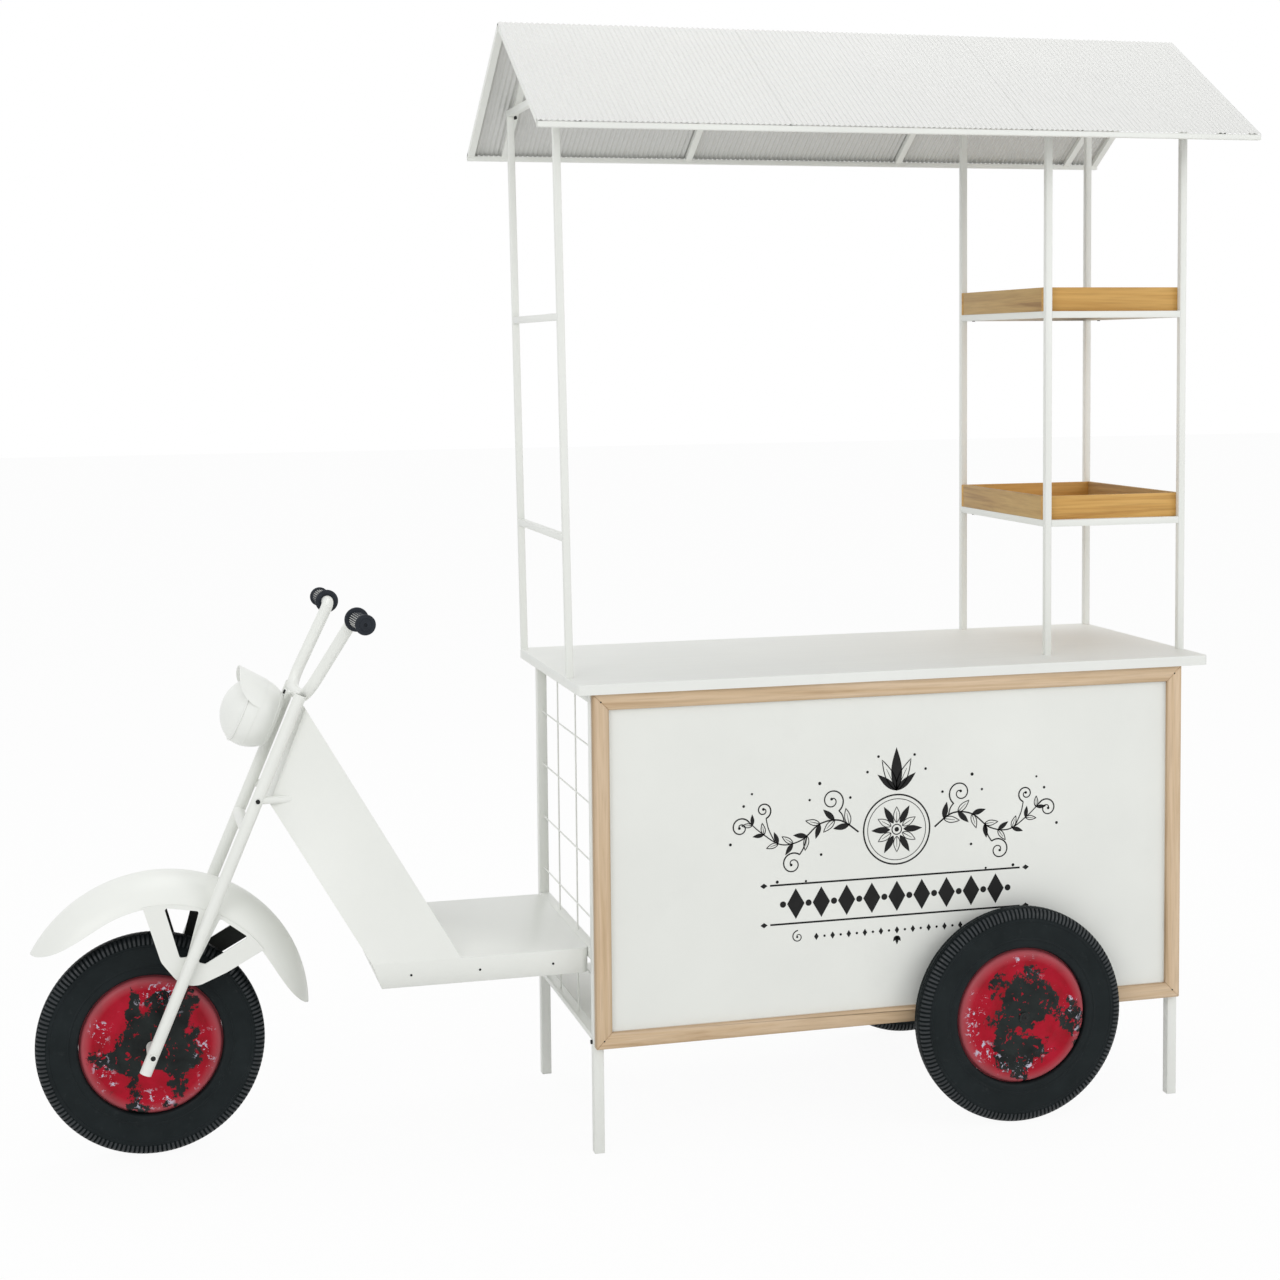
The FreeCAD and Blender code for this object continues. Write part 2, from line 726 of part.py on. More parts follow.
def make_axles():
    hub_end = hub_length / 2 + running_gap
    head_at = fork_half + fork_tube / 2 - leg_bite
    rod_end = head_at + axle_head_height
    centre = V(front_wheel_x, 0, axle_z)
    side = V(0, 1, 0)
    rod = cylinder(axle_diameter / 2, centre - side * rod_end, centre + side * rod_end)
    trim = []
    foot = fork_point(axle_z - fork_foot_reach)
    head = fork_point(fork_top_z)
    for s in (-1, 1):
        collar = cylinder(collar_diameter / 2, centre + side * s * hub_end, centre + side * s * fork_half)
        cap = cylinder(axle_head_diameter / 2, centre + side * s * head_at, centre + side * s * rod_end)
        leg = cylinder(fork_tube / 2, V(foot.x, s * fork_half, foot.z), V(head.x, s * fork_half, head.z))
        trim.append(max(collar.cut(leg).Solids, key=lambda b: b.Volume))
        trim.append(max(cap.cut(leg).Solids, key=lambda b: b.Volume))
    parts["front_axle"] = solid_of(rod.multiFuse(trim))
    axles = []
    for s, rail_y in ((-1, leg_front_y), (1, leg_back_y + leg_size)):
        centre = V(side_wheel_x, s * side_wheel_y, axle_z)
        inner = V(side_wheel_x, rail_y - s * leg_size, axle_z)
        face = V(side_wheel_x, rail_y, axle_z)
        end = centre + side * s * (hub_end + bracket_thickness)
        rod = cylinder(axle_diameter / 2, inner, end)
        collar = cylinder(collar_diameter / 2, face, centre - side * s * hub_end)
        cap = cylinder(collar_diameter / 2, centre + side * s * hub_end, end)
        axles.append(rod.fuse(collar).fuse(cap))
    parts["side_axles"] = group(axles)


# ---------------------------------------------------------------- posts, rungs, rails and trays
def post_shift(z):
    """How far the leaning left posts stand to the left at a height."""
    return post_lean * (z - post_foot_z) / (tie_bottom - post_foot_z)


def post_places():
    """Each post's foot corner, and how far its top stands to the left."""
    return {"post_left_front": (left_post_x, post_front_y, post_lean),
            "post_left_back": (left_post_x, post_back_y, post_lean),
            "tower_post_front_left": (tower_left_x, post_front_y, 0.0),
            "tower_post_front_right": (tower_right_x, post_front_y, 0.0),
            "tower_post_back_left": (tower_left_x, post_back_y, 0.0),
            "tower_post_back_right": (tower_right_x, post_back_y, 0.0)}


def post_block(x, y, lean, inset):
    """A post's filled form from its socket to the ties, narrower by the inset."""
    side = post_size - 2 * inset
    foot = Part.makePlane(side, side, V(x + inset, y + inset, post_foot_z))
    return foot.extrude(V(-lean, 0, tie_bottom - post_foot_z))


def make_posts():
    for name, (x, y, lean) in post_places().items():
        parts[name] = solid_of(post_block(x, y, lean, 0.0).cut(post_block(x, y, lean, post_wall)))


def make_rungs():
    inner_front = post_front_y + post_size
    rungs = []
    rails = []
    for top in (lower_rail_top, upper_rail_top):
        x = left_post_x - post_shift(top - post_size / 2)
        rungs.append(square_tube(x, x + post_size, inner_front, post_back_y, top - post_size, top,
                                 post_wall, "y"))
        for rail_x in (tower_left_x, tower_right_x):
            rails.append(square_tube(rail_x, rail_x + post_size, inner_front, post_back_y,
                                     top - post_size, top, post_wall, "y"))
        for rail_y in (post_front_y, post_back_y):
            rails.append(square_tube(tower_left_x + post_size, tower_right_x, rail_y, rail_y + post_size,
                                     top - post_size, top, post_wall, "x"))
    parts["left_rungs"] = group(rungs)
    parts["tower_rails"] = group(rails)


def make_ties():
    ties = []
    for x in (left_post_x - post_lean, tower_left_x, tower_right_x):
        ties.append(square_tube(x, x + post_size, post_front_y, post_back_y + post_size, tie_bottom,
                                tie_top, post_wall, "y"))
    for y in (post_front_y, post_back_y):
        ties.append(square_tube(tower_left_x + post_size, tower_right_x, y, y + post_size, tie_bottom,
                                tie_top, post_wall, "x"))
    parts["roof_ties"] = group(ties)


def make_trays():
    x0 = tower_left_x
    x1 = tower_right_x + post_size
    y0 = post_front_y + post_size
    y1 = post_back_y
    b = tray_board
    for name, z0 in (("tray_lower", lower_rail_top), ("tray_upper", upper_rail_top)):
        z1 = z0 + tray_height
        boards = [box(x0, x1, y0, y0 + b, z0, z1), box(x0, x1, y1 - b, y1, z0, z1),
                  box(x0, x0 + b, y0 + b, y1 - b, z0, z1), box(x1 - b, x1, y0 + b, y1 - b, z0, z1),
                  box(x0 + b, x1 - b, y0 + b, y1 - b, z0, z0 + tray_floor)]
        parts[name] = group(boards)


# ---------------------------------------------------------------- roof
def slope_point(along, out):
    """On the front slope: distance down from the ridge line and height off the rafters."""
    y = post_mid_y - along * math.cos(roof_angle) - out * math.sin(roof_angle)
    z = roof_ridge_z - along * math.sin(roof_angle) + out * math.cos(roof_angle)
    return y, z


def to_back_slope(shape):
    return shape.mirror(V(0, post_mid_y, 0), V(0, 1, 0))


def corrugated_sheet(x0, x1):
    """One folded sheet, its ribs running down the slope."""
    ribs = max(2, round((x1 - x0) / corrugation_pitch))
    step = (x1 - x0) / (2 * ribs)
    under = []
    for i in range(2 * ribs + 1):
        out = corrugation_depth if i % 2 else 0.0
        y, z = slope_point(0, out)
        under.append(V(x0 + i * step, y, z))
    lift_y, lift_z = slope_point(0, roof_sheet_gauge)
    lift = V(0, lift_y - post_mid_y, lift_z - roof_ridge_z)
    over = [p + lift for p in reversed(under)]
    end_y, end_z = slope_point(roof_half_depth / math.cos(roof_angle), 0)
    return face_from_points(under + over).extrude(V(0, end_y - post_mid_y, end_z - roof_ridge_z))


def make_roof_sheets():
    share = (roof_x1 - roof_x0) / roof_sheet_count
    sheets = []
    for i in range(roof_sheet_count):
        x0 = roof_x0 + i * share + (sheet_joint_gap / 2 if i else 0.0)
        x1 = roof_x0 + (i + 1) * share - (sheet_joint_gap / 2 if i < roof_sheet_count - 1 else 0.0)
        sheets.append(corrugated_sheet(x0, x1))
    parts["roof_sheet_front"] = group(sheets)
    parts["roof_sheet_back"] = group([to_back_slope(s) for s in sheets])


def make_roof_frame():
    half = roof_bar_width / 2
    top = roof_ridge_z - half * math.tan(roof_angle)
    ridge = square_tube(roof_x0, roof_x1, post_mid_y - half, post_mid_y + half,
                        top - roof_bar_width, top, post_wall, "x")
    parts["roof_ridge_bar"] = ridge
    front = post_mid_y - roof_half_depth
    eave = square_tube(roof_x0, roof_x1, front, front + roof_bar_width, roof_eave_z,
                       roof_eave_z + roof_bar, post_wall, "x")
    parts["roof_eave_bars"] = group([eave, to_back_slope(eave)])
    share = (roof_x1 - roof_x0) / roof_sheet_count
    starts = [roof_x0, left_post_x - post_lean + post_size, tower_right_x + post_size,
              roof_x1 - roof_bar_width]
    starts += [roof_x0 + i * share - half for i in range(1, roof_sheet_count)]
    slant = math.tan(roof_angle)
    depth = roof_bar / math.cos(roof_angle)
    y0 = post_mid_y - half
    y1 = front + roof_bar_width
    z0 = roof_ridge_z - half * slant
    z1 = roof_ridge_z - (roof_half_depth - roof_bar_width) * slant
    rafters = []
    for x in starts:
        outline = [V(x, y0, z0), V(x, y1, z1), V(x, y1, z1 - depth), V(x, y0, z0 - depth)]
        rafter = face_from_points(outline).extrude(V(roof_bar_width, 0, 0))
        rafters += [rafter, to_back_slope(rafter)]
    parts["roof_rafters"] = group(rafters)


# ---------------------------------------------------------------- screws and bolts
def screw(at, direction, diameter, height):
    start = V(at)
    return cylinder(diameter / 2, start, start + V(direction) * height)


def make_screws():
    heads = []
    y = leg_front_y + leg_size * 0.65
    heads.append(screw(V(leg_left_x, y, axle_z), V(-1, 0, 0), screw_diameter, screw_height))
    heads.append(screw(V(leg_right_x + leg_size, y, axle_z), V(1, 0, 0), screw_diameter, screw_height))
    at = fork_point(stub_z)
    foot = fork_point(axle_z)
    top = fork_point(fork_top_z)
    for s in (-1, 1):
        leg = cylinder(fork_tube / 2, V(foot.x, s * fork_half, foot.z), V(top.x, s * fork_half, top.z))
        bolt = screw(V(at.x, s * (fork_half + fork_tube / 2 - 2), at.z), V(0, s, 0), screw_diameter,
                     screw_height + 2)
        heads.append(max(bolt.cut(leg).Solids, key=lambda b: b.Volume))
    bolt = screw(V(-lamp_back_plane, 0, bracket_rise - screw_diameter / 2 - 0.5), V(1, 0, 0),
                 screw_diameter, screw_height)
    heads.append(lamp_place(bolt.cut(Part.makeSphere(lamp_radius))))
    along = (post_back_y + post_size + 15 - post_mid_y) / math.cos(roof_angle)
    y, z = slope_point(along, -roof_bar)
    fold = V(0, math.sin(roof_angle), -math.cos(roof_angle))
    for x in (left_post_x - post_lean + post_size * 1.5, tower_right_x + post_size * 1.5):
        bolt = screw(V(x, y, z), fold, screw_diameter, screw_height)
        heads += [bolt, to_back_slope(bolt)]
    for rail_top in (lower_rail_top, upper_rail_top):
        for x in (tower_left_x, tower_right_x):
            heads.append(screw(V(x + post_size / 2, post_back_y - 50, rail_top - post_size),
                               V(0, 0, -1), screw_diameter * 0.75, screw_height / 2))
    parts["black_screws"] = group(heads)


# ---------------------------------------------------------------- build and write
make_counter()
make_legs()
make_end_rails()
make_long_rails()
make_shelf()
make_grids()
make_front_panel()
make_footboard()
make_shield()
make_handlebar()
make_fork()
make_stubs()
make_grips()
make_lamp()
make_bracket()
make_fender()
make_struts()
make_wheels()
make_axles()
make_posts()
make_rungs()
make_ties()
make_trays()
make_roof_sheets()
make_roof_frame()
make_screws()

front_tip_x = fender_cx - fender_radius * math.cos(math.radians(180 - fender_front_angle))
wheel_side_y = side_wheel_y + hub_length / 2 + running_gap + bracket_thickness
sheet_edge_y = post_mid_y + roof_half_depth + (corrugation_depth + roof_sheet_gauge) * math.sin(roof_angle)
to_middle = V(-(front_tip_x + roof_x1) / 2, -(sheet_edge_y - wheel_side_y) / 2, 0)
for name, shape in parts.items():
    placed = shape.copy()
    placed.translate(to_middle)
    placed.exportStep(os.path.join("parts", name + ".step"))
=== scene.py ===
import math

import bmesh
import bpy
from mathutils import Matrix, Vector


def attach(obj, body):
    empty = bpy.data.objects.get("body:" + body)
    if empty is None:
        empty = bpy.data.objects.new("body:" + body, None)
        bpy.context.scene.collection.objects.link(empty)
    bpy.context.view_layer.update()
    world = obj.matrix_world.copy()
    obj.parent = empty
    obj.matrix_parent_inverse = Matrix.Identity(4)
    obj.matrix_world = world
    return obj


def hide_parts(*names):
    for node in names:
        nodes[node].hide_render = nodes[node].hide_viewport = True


bpy.ops.wm.read_factory_settings(use_empty=True)
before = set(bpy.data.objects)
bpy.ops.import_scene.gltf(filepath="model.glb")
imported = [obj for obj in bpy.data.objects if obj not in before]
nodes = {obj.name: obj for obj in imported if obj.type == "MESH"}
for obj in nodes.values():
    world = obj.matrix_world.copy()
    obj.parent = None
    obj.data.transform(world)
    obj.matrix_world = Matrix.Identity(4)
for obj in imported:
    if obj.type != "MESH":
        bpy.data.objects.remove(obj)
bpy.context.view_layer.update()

# ------------------------------------------------------------------ places
# Lengths are in mm, X from the counter's left end, Y from its middle line and Z from the
# floor. place() turns them into the frame's metres. The headlamp faces along LAMP_AXIS.
SHIFT_X = -184.463
SHIFT_Y = -39.735
AXLE_Z = 206.0
FRONT_AXLE_X = -751.0
SIDE_AXLE_X = 842.0
SIDE_WHEEL_Y = 296.0
WHEELS = {
    "front_wheel": (FRONT_AXLE_X, 0.0),
    "side_wheel_near": (SIDE_AXLE_X, -SIDE_WHEEL_Y),
    "side_wheel_far": (SIDE_AXLE_X, SIDE_WHEEL_Y),
}
RAKE = math.radians(23.3)
LAMP_AXIS = Vector((-math.cos(RAKE), 0, math.sin(RAKE)))
# The middle lines of the four members that frame the panel.
FRAME_LEFT, FRAME_RIGHT = 44.0, 1183.0
FRAME_BOTTOM, FRAME_TOP = 213.0, 836.0


def place(x, y, z):
    return Vector(((x + SHIFT_X) / 1000, (y + SHIFT_Y) / 1000, z / 1000))


# ------------------------------------------------------------------ material helpers
class Nodes:
    """A short way to write a shader tree."""

    def __init__(self, name):
        self.mat = bpy.data.materials.new(name)
        self.mat.use_nodes = True
        self.tree = self.mat.node_tree
        self.tree.nodes.clear()
        self.out = self.tree.nodes.new("ShaderNodeOutputMaterial")
        self.shader = self.tree.nodes.new("ShaderNodeBsdfPrincipled")
        self.link(self.shader.outputs[0], self.out.inputs[0])

    def link(self, a, b):
        self.tree.links.new(a, b)

    def node(self, kind, **settings):
        n = self.tree.nodes.new(kind)
        for k, v in settings.items():
            setattr(n, k, v)
        return n

    def coords(self, scale=(1, 1, 1), offset=(0, 0, 0)):
        """Object coordinates, scaled and shifted."""
        t = self.node("ShaderNodeTexCoord")
        m = self.node("ShaderNodeMapping")
        m.inputs["Scale"].default_value = scale
        m.inputs["Location"].default_value = offset
        self.link(t.outputs["Object"], m.inputs["Vector"])
        return m.outputs[0]

    def noise(self, vector, scale, detail=4.0, rough=0.55, distort=0.0):
        n = self.node("ShaderNodeTexNoise")
        n.inputs["Scale"].default_value = scale
        n.inputs["Detail"].default_value = detail
        n.inputs["Roughness"].default_value = rough
        n.inputs["Distortion"].default_value = distort
        self.link(vector, n.inputs["Vector"])
        return n.outputs["Fac"]

    def ramp(self, value, stops):
        """Colours along a value; each stop is a position and a colour."""
        r = self.node("ShaderNodeValToRGB")
        while len(r.color_ramp.elements) < len(stops):
            r.color_ramp.elements.new(0.5)
        for e, (at, colour) in zip(r.color_ramp.elements, stops):
            e.position = at
            e.color = tuple(colour) + (1,)
        self.link(value, r.inputs[0])
        return r.outputs[0]

    def steps(self, value, low, high):
        """0 below low, 1 above high and a slope between them."""
        return self.ramp(value, [(low, (0, 0, 0)), (high, (1, 1, 1))])

    def spread(self, value, low, high):
        """Two colours over the middle of a noise's range."""
        return self.ramp(value, [(0.3, low), (0.7, high)])

    def roughness(self, value, low, high):
        return self.spread(value, (low,) * 3, (high,) * 3)

    def mix(self, factor, a, b):
        """The colour a where the factor is 0, b where it is 1."""
        m = self.node("ShaderNodeMix", data_type="RGBA")
        self.put(m.inputs[0], factor)
        self.put(m.inputs[6], a)
        self.put(m.inputs[7], b)
        return m.outputs[2]

    def math(self, kind, a, b=0.0):
        m = self.node("ShaderNodeMath", operation=kind)
        self.put(m.inputs[0], a)
        self.put(m.inputs[1], b)
        return m.outputs[0]

    def times(self, a, b):
        return self.math("MULTIPLY", a, b)

    def inverse(self, value):
        return self.math("SUBTRACT", 1.0, value)

    def put(self, socket, value):
        """Link an output to a socket, or set a plain value on it."""
        if hasattr(value, "is_linked"):
            self.link(value, socket)
        elif isinstance(value, tuple) and len(value) == 3 and socket.type == "RGBA":
            socket.default_value = value + (1,)
        else:
            socket.default_value = value

    def bump(self, height, strength, distance):
        b = self.node("ShaderNodeBump")
        b.inputs["Strength"].default_value = strength
        b.inputs["Distance"].default_value = distance
        self.link(height, b.inputs["Height"])
        self.link(b.outputs[0], self.shader.inputs["Normal"])

    def set(self, **values):
        """Fill the shader's sockets and give back the finished material."""
        for k, v in values.items():
            self.put(self.shader.inputs[k.replace("_", " ")], v)
        return self.mat


def shade(colour, amount):
    return tuple(min(1.0, c * amount) for c in colour)


SPECK = (0.22, 0.18, 0.13)


def paint(name, colour, rough, specks=0.0, streak=None, peel=0.05):
    """Sprayed white paint: faint clouds and grime, and a fine skin. specks is the share of the
    surface with dark specks, streak the scale of a wood grain that shows through."""
    n = Nodes(name)
    v = n.coords()
    cloud = n.noise(v, 2.6, 4)
    base = n.spread(cloud, shade(colour, 0.955), shade(colour, 1.02))
    if streak:
        grain = n.noise(n.coords(streak), 1.0, 4, 0.6)
        base = n.mix(n.times(n.steps(grain, 0.45, 0.75), 0.5), base, shade(colour, 0.95))
    grime = n.steps(n.noise(v, 9.0, 6, 0.7), 0.60, 0.82)
    base = n.mix(n.times(grime, 0.35), base, shade(colour, 0.9))
    if specks:
        cell = n.node("ShaderNodeTexVoronoi", feature="F1")
        cell.inputs["Scale"].default_value = 13.0
        n.link(v, cell.inputs["Vector"])
        dot = n.inverse(n.steps(cell.outputs["Distance"], 0.012, 0.022))
        pick = n.steps(n.noise(v, 5.0, 1), 1 - specks, 1 - specks + 0.01)
        base = n.mix(n.times(dot, pick), base, SPECK)
    n.bump(n.noise(v, 380.0, 2), peel, 0.0005)
    return n.set(Base_Color=base, Roughness=n.roughness(cloud, rough - 0.05, rough + 0.06))


def grain_scale(along, coarse, fine):
    """A scale for x, y and z, coarse along the grain and fine across it."""
    return tuple(coarse if axis == along else fine for axis in "xyz")


EDGE_DARK_SPAN = (0.0145, 0.0185)


def wood(name, along, light, mid, dark, seed, knots=0.0, edge_dark=None):
    """Planed softwood, its grain along one axis of the frame. knots is the size of its knots. The
    last argument gives the axis across a member and its middle in metres, and makes the wood darker
    along both edges."""
    n = Nodes(name)
    run = grain_scale(along, 1.6, 42)
    v = n.coords(run, (seed, seed * 1.7, seed * 0.6))
    grain = n.noise(v, 1.0, 4, 0.6, 1.2)
    fine = n.noise(n.coords(tuple(s * 6 for s in run), (seed, 0, 0)), 1.0, 3, 0.6)
    broad = n.noise(n.coords(tuple(0.1 * s + 1.2 for s in run), (0, seed, 3)), 1.0, 3)
    base = n.ramp(grain, [(0.30, dark), (0.44, mid), (0.62, light)])
    base = n.mix(n.times(n.steps(fine, 0.48, 0.72), 0.45), base, shade(mid, 0.72))
    base = n.mix(n.times(n.steps(broad, 0.42, 0.72), 0.4), base, shade(mid, 0.8))
    if knots:
        spot = n.node("ShaderNodeTexVoronoi")
        spot.inputs["Scale"].default_value = 1.0
        where = n.coords(grain_scale(along, 3.1, 21), (seed * 2.3, 1.1, seed))
        n.link(where, spot.inputs["Vector"])
        core = n.inverse(n.steps(spot.outputs["Distance"], knots * 0.45, knots))
        halo = n.inverse(n.steps(spot.outputs["Distance"], knots, knots * 2.6))
        base = n.mix(n.times(halo, 0.55), base, dark)
        base = n.mix(core, base, shade(dark, 0.3))
    if edge_dark:
        axis, middle = edge_dark
        parts = n.node("ShaderNodeSeparateXYZ")
        n.link(n.coords(), parts.inputs[0])
        off = n.math("ABSOLUTE", n.math("SUBTRACT", parts.outputs[axis], middle))
        off = n.math("ADD", off, n.times(broad, 0.006))
        base = n.mix(n.times(n.steps(off, *EDGE_DARK_SPAN), 0.6), base, shade(dark, 0.75))
    n.bump(fine, 0.16, 0.0006)
    return n.set(Base_Color=base, Roughness=0.6)


def plain(name, colour, rough, metal=0.0, gloss=0.5):
    """One colour with faint clouds in it."""
    n = Nodes(name)
    v = n.coords()
    cloud = n.noise(v, 60.0, 3)
    base = n.spread(cloud, shade(colour, 0.78), shade(colour, 1.18))
    n.bump(n.noise(v, 900.0, 2), 0.08, 0.0004)
    rough_map = n.roughness(cloud, rough - 0.06, rough + 0.08)
    return n.set(Base_Color=base, Roughness=rough_map, Metallic=metal, Specular_IOR_Level=gloss)


RED_TONES = [(0.3, (0.27, 0.002, 0.010)), (0.5, (0.39, 0.002, 0.017)), (0.75, (0.46, 0.006, 0.028))]
GROUND_TONES = [(0.35, (0.006, 0.008, 0.008)), (0.7, (0.018, 0.024, 0.023))]
RIM_PINK_WEAR_AND_SHEEN = (0.40, 0.13, 0.145)
CHIP_AND_GLINT_BLUE = (0.55, 0.53, 0.64)
# Distances from a wheel's middle, in metres, between which an effect comes in or goes out.
RIM_PINK_SPAN = (0.106, 0.124)
CHIPS_IN = (0.074, 0.090)
CHIPS_OUT = (0.112, 0.121)


def red_paint(name, centre, seed):
    """Red enamel worn through to a dark ground, most of it near the wheel's middle. The rim is a
    paler pink, partly faded paint and partly a painted highlight of its curve, and a band inside it
    has pale bluish chips, partly bare metal and partly painted glints on the black."""
    n = Nodes(name)
    t = n.node("ShaderNodeTexCoord")
    m = n.node("ShaderNodeMapping")
    m.inputs["Location"].default_value = tuple(-c for c in centre)
    n.link(t.outputs["Object"], m.inputs["Vector"])
    flat = n.node("ShaderNodeVectorMath", operation="MULTIPLY")
    flat.inputs[1].default_value = (1, 0, 1)
    n.link(m.outputs[0], flat.inputs[0])
    length = n.node("ShaderNodeVectorMath", operation="LENGTH")
    n.link(flat.outputs[0], length.inputs[0])
    radius = length.outputs["Value"]
    shifted = n.node("ShaderNodeVectorMath", operation="ADD")
    shifted.inputs[1].default_value = (seed, seed * 0.3, seed * 0.7)
    n.link(flat.outputs[0], shifted.inputs[0])
    w = shifted.outputs[0]
    big = n.noise(w, 11.0, 3, 0.5, 0.4)
    ragged = n.noise(w, 55.0, 8, 0.78)
    inner = n.times(radius, -3.4)
    field = n.math("ADD", n.times(big, 1.40), n.times(ragged, 0.62))
    field = n.math("ADD", field, inner)
    patch = n.steps(field, 0.762, 0.768)
    red = n.ramp(n.noise(w, 18.0, 4), RED_TONES)
    black = n.ramp(n.noise(w, 26.0, 4), GROUND_TONES)
    # Paler pink towards the rim: partly faded paint, partly a painted highlight of the rim's curve.
    red = n.mix(n.times(n.steps(radius, *RIM_PINK_SPAN), 0.6), red, RIM_PINK_WEAR_AND_SHEEN)
    base = n.mix(patch, red, black)
    flecks = n.steps(n.noise(w, 95.0, 5, 0.62, 0.6), 0.615, 0.622)
    base = n.mix(n.times(flecks, patch), base, red)
    # Pale bluish chips in a band: partly real chips of bare metal, partly painted glints of the
    # dish's curve on the black.
    band = n.times(n.steps(radius, *CHIPS_IN), n.inverse(n.steps(radius, *CHIPS_OUT)))
    near_chip = n.steps(n.noise(w, 12.0, 2), 0.50, 0.56)
    chips_and_glints = n.steps(n.noise(w, 90.0, 7, 0.72, 0.5), 0.578, 0.588)
    chips_and_glints = n.times(n.times(chips_and_glints, band), near_chip)
    base = n.mix(chips_and_glints, base, CHIP_AND_GLINT_BLUE)
    n.bump(n.noise(w, 240.0, 3), 0.1, 0.0005)
    rough_map = n.ramp(ragged, [(0.3, (0.27,) * 3), (0.8, (0.42,) * 3)])
    return n.set(Base_Color=base, Roughness=rough_map, Specular_IOR_Level=0.16)


def tyre_rubber(name):
    """Moulded rubber: greenish black, dusty in broad clouds, with a fine skin."""
    n = Nodes(name)
    v = n.coords()
    cloud = n.noise(v, 14.0, 5, 0.6)
    base = n.spread(cloud, (0.009, 0.0125, 0.0135), (0.016, 0.021, 0.0225))
    dust = n.steps(n.noise(v, 60.0, 6, 0.7), 0.60, 0.80)
    base = n.mix(n.times(dust, 0.4), base, (0.05, 0.055, 0.055))
    n.bump(n.noise(v, 500.0, 3), 0.12, 0.0005)
    return n.set(Base_Color=base, Roughness=n.roughness(cloud, 0.42, 0.56), Specular_IOR_Level=0.09)


M = {
    "frame": paint("frame_white", (0.83, 0.84, 0.80), 0.40),
    "counter": paint("counter_white", (0.83, 0.84, 0.805), 0.48, 0.43, (3.0, 60.0, 60.0)),
    "sheet": paint("sheet_white", (0.82, 0.83, 0.79), 0.36),
    "lamp": paint("lamp_white", (0.84, 0.85, 0.815), 0.27),
    "roof": paint("roof_white", (0.66, 0.66, 0.64), 0.50, peel=0.0),
    "shelf": paint("shelf_white", (0.78, 0.78, 0.75), 0.55),
    "panel": paint("panel_white", (0.82, 0.83, 0.79), 0.50),
}
PINE = ((0.72, 0.55, 0.38), (0.62, 0.45, 0.28), (0.40, 0.25, 0.13))
HONEY = ((0.67, 0.39, 0.109), (0.56, 0.30, 0.071), (0.37, 0.165, 0.030))
BROWN = ((0.555, 0.37, 0.152), (0.458, 0.287, 0.112), (0.29, 0.16, 0.062))
top_edge, low_edge = [("Z", place(0, 0, z).z) for z in (FRAME_TOP, FRAME_BOTTOM)]
left_edge, right_edge = [("X", place(x, 0, 0).x) for x in (FRAME_LEFT, FRAME_RIGHT)]
M["pine_x"] = wood("pine_x", "x", *PINE, seed=1.0, knots=0.05, edge_dark=top_edge)
M["pine_x2"] = wood("pine_x2", "x", *PINE, seed=5.0, knots=0.06, edge_dark=low_edge)
M["pine_z"] = wood("pine_z", "z", *PINE, seed=3.0, knots=0.05, edge_dark=left_edge)
M["pine_z2"] = wood("pine_z2", "z", *PINE, seed=8.0, knots=0.06, edge_dark=right_edge)
M["honey_x"] = wood("honey_x", "x", *HONEY, seed=2.0)
M["honey_x2"] = wood("honey_x2", "x", *HONEY, seed=9.0)
M["brown_y"] = wood("brown_y", "y", *BROWN, seed=4.0, knots=0.05)
M["brown_y2"] = wood("brown_y2", "y", *BROWN, seed=7.5, knots=0.04)
M["steel"] = plain("axle_steel", (0.30, 0.29, 0.27), 0.42, 0.8)
M["black"] = plain("screw_black", (0.015, 0.015, 0.015), 0.4, gloss=0.2)
M["dark_cap"] = plain("cap_dark", (0.018, 0.021, 0.021), 0.4, gloss=0.2)
# Dark green-black for the unlit inner faces of the fender and its struts: painted shade.
M["inside"] = plain("sheet_inside_painted_shade", (0.030, 0.034, 0.030), 0.5, gloss=0.25)
M["ink"] = plain("panel_ink", (0.015, 0.015, 0.015), 0.6, gloss=0.15)
M["rubber"] = plain("grip_rubber", (0.018, 0.022, 0.029), 0.5, gloss=0.2)
M["chalk"] = plain("grip_grid", (0.62, 0.62, 0.58), 0.7)
M["tyre"] = tyre_rubber("tyre_rubber")
# Lighter rubber on the tops of the shoulder lugs: a painted highlight on the lugs.
M["tyre_worn"] = plain("tyre_lugs_sheen", (0.026, 0.030, 0.033), 0.40, gloss=0.3)
for i, (wheel, (wx, wy)) in enumerate(WHEELS.items()):
    M[wheel + "_red"] = red_paint(wheel + "_red", place(wx, wy, AXLE_Z), 3.1 + 1.7 * i)


# ------------------------------------------------------------------ mesh helpers
def finish_mesh(name, mesh, materials, body, angle):
    """Put a mesh in the scene on its body; edges sharper than the angle stay sharp."""
    o = bpy.data.objects.new(name, mesh)
    bpy.context.scene.collection.objects.link(o)
    for m in materials:
        mesh.materials.append(m)
    mesh.shade_smooth()
    mesh.set_sharp_from_angle(angle=math.radians(angle))
    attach(o, body)
    return o


def add_mesh(name, verts, faces, material, body="cart", angle=35, second=None, picks=()):
    """A new piece from points and faces; the picked faces take the second material."""
    mesh = bpy.data.meshes.new(name)
    mesh.from_pydata([tuple(v) for v in verts], [], faces)
    for i in picks:
        mesh.polygons[i].material_index = 1
    bm = bmesh.new()
    bm.from_mesh(mesh)
    bmesh.ops.recalc_face_normals(bm, faces=bm.faces)
    bm.to_mesh(mesh)
    bm.free()
    return finish_mesh(name, mesh, [material] + ([second] if second else []), body, angle)


def rings(faces, k, count, closed=True, start=0):
    """Join count rows of k points into a ring of quads. The rows are loops when closed."""
    for i in range(count):
        here = start + i * k
        ahead = start + (i + 1) % count * k
        for p in range(k if closed else k - 1):
            q = (p + 1) % k
            faces.append((here + p, here + q, ahead + q, ahead + p))


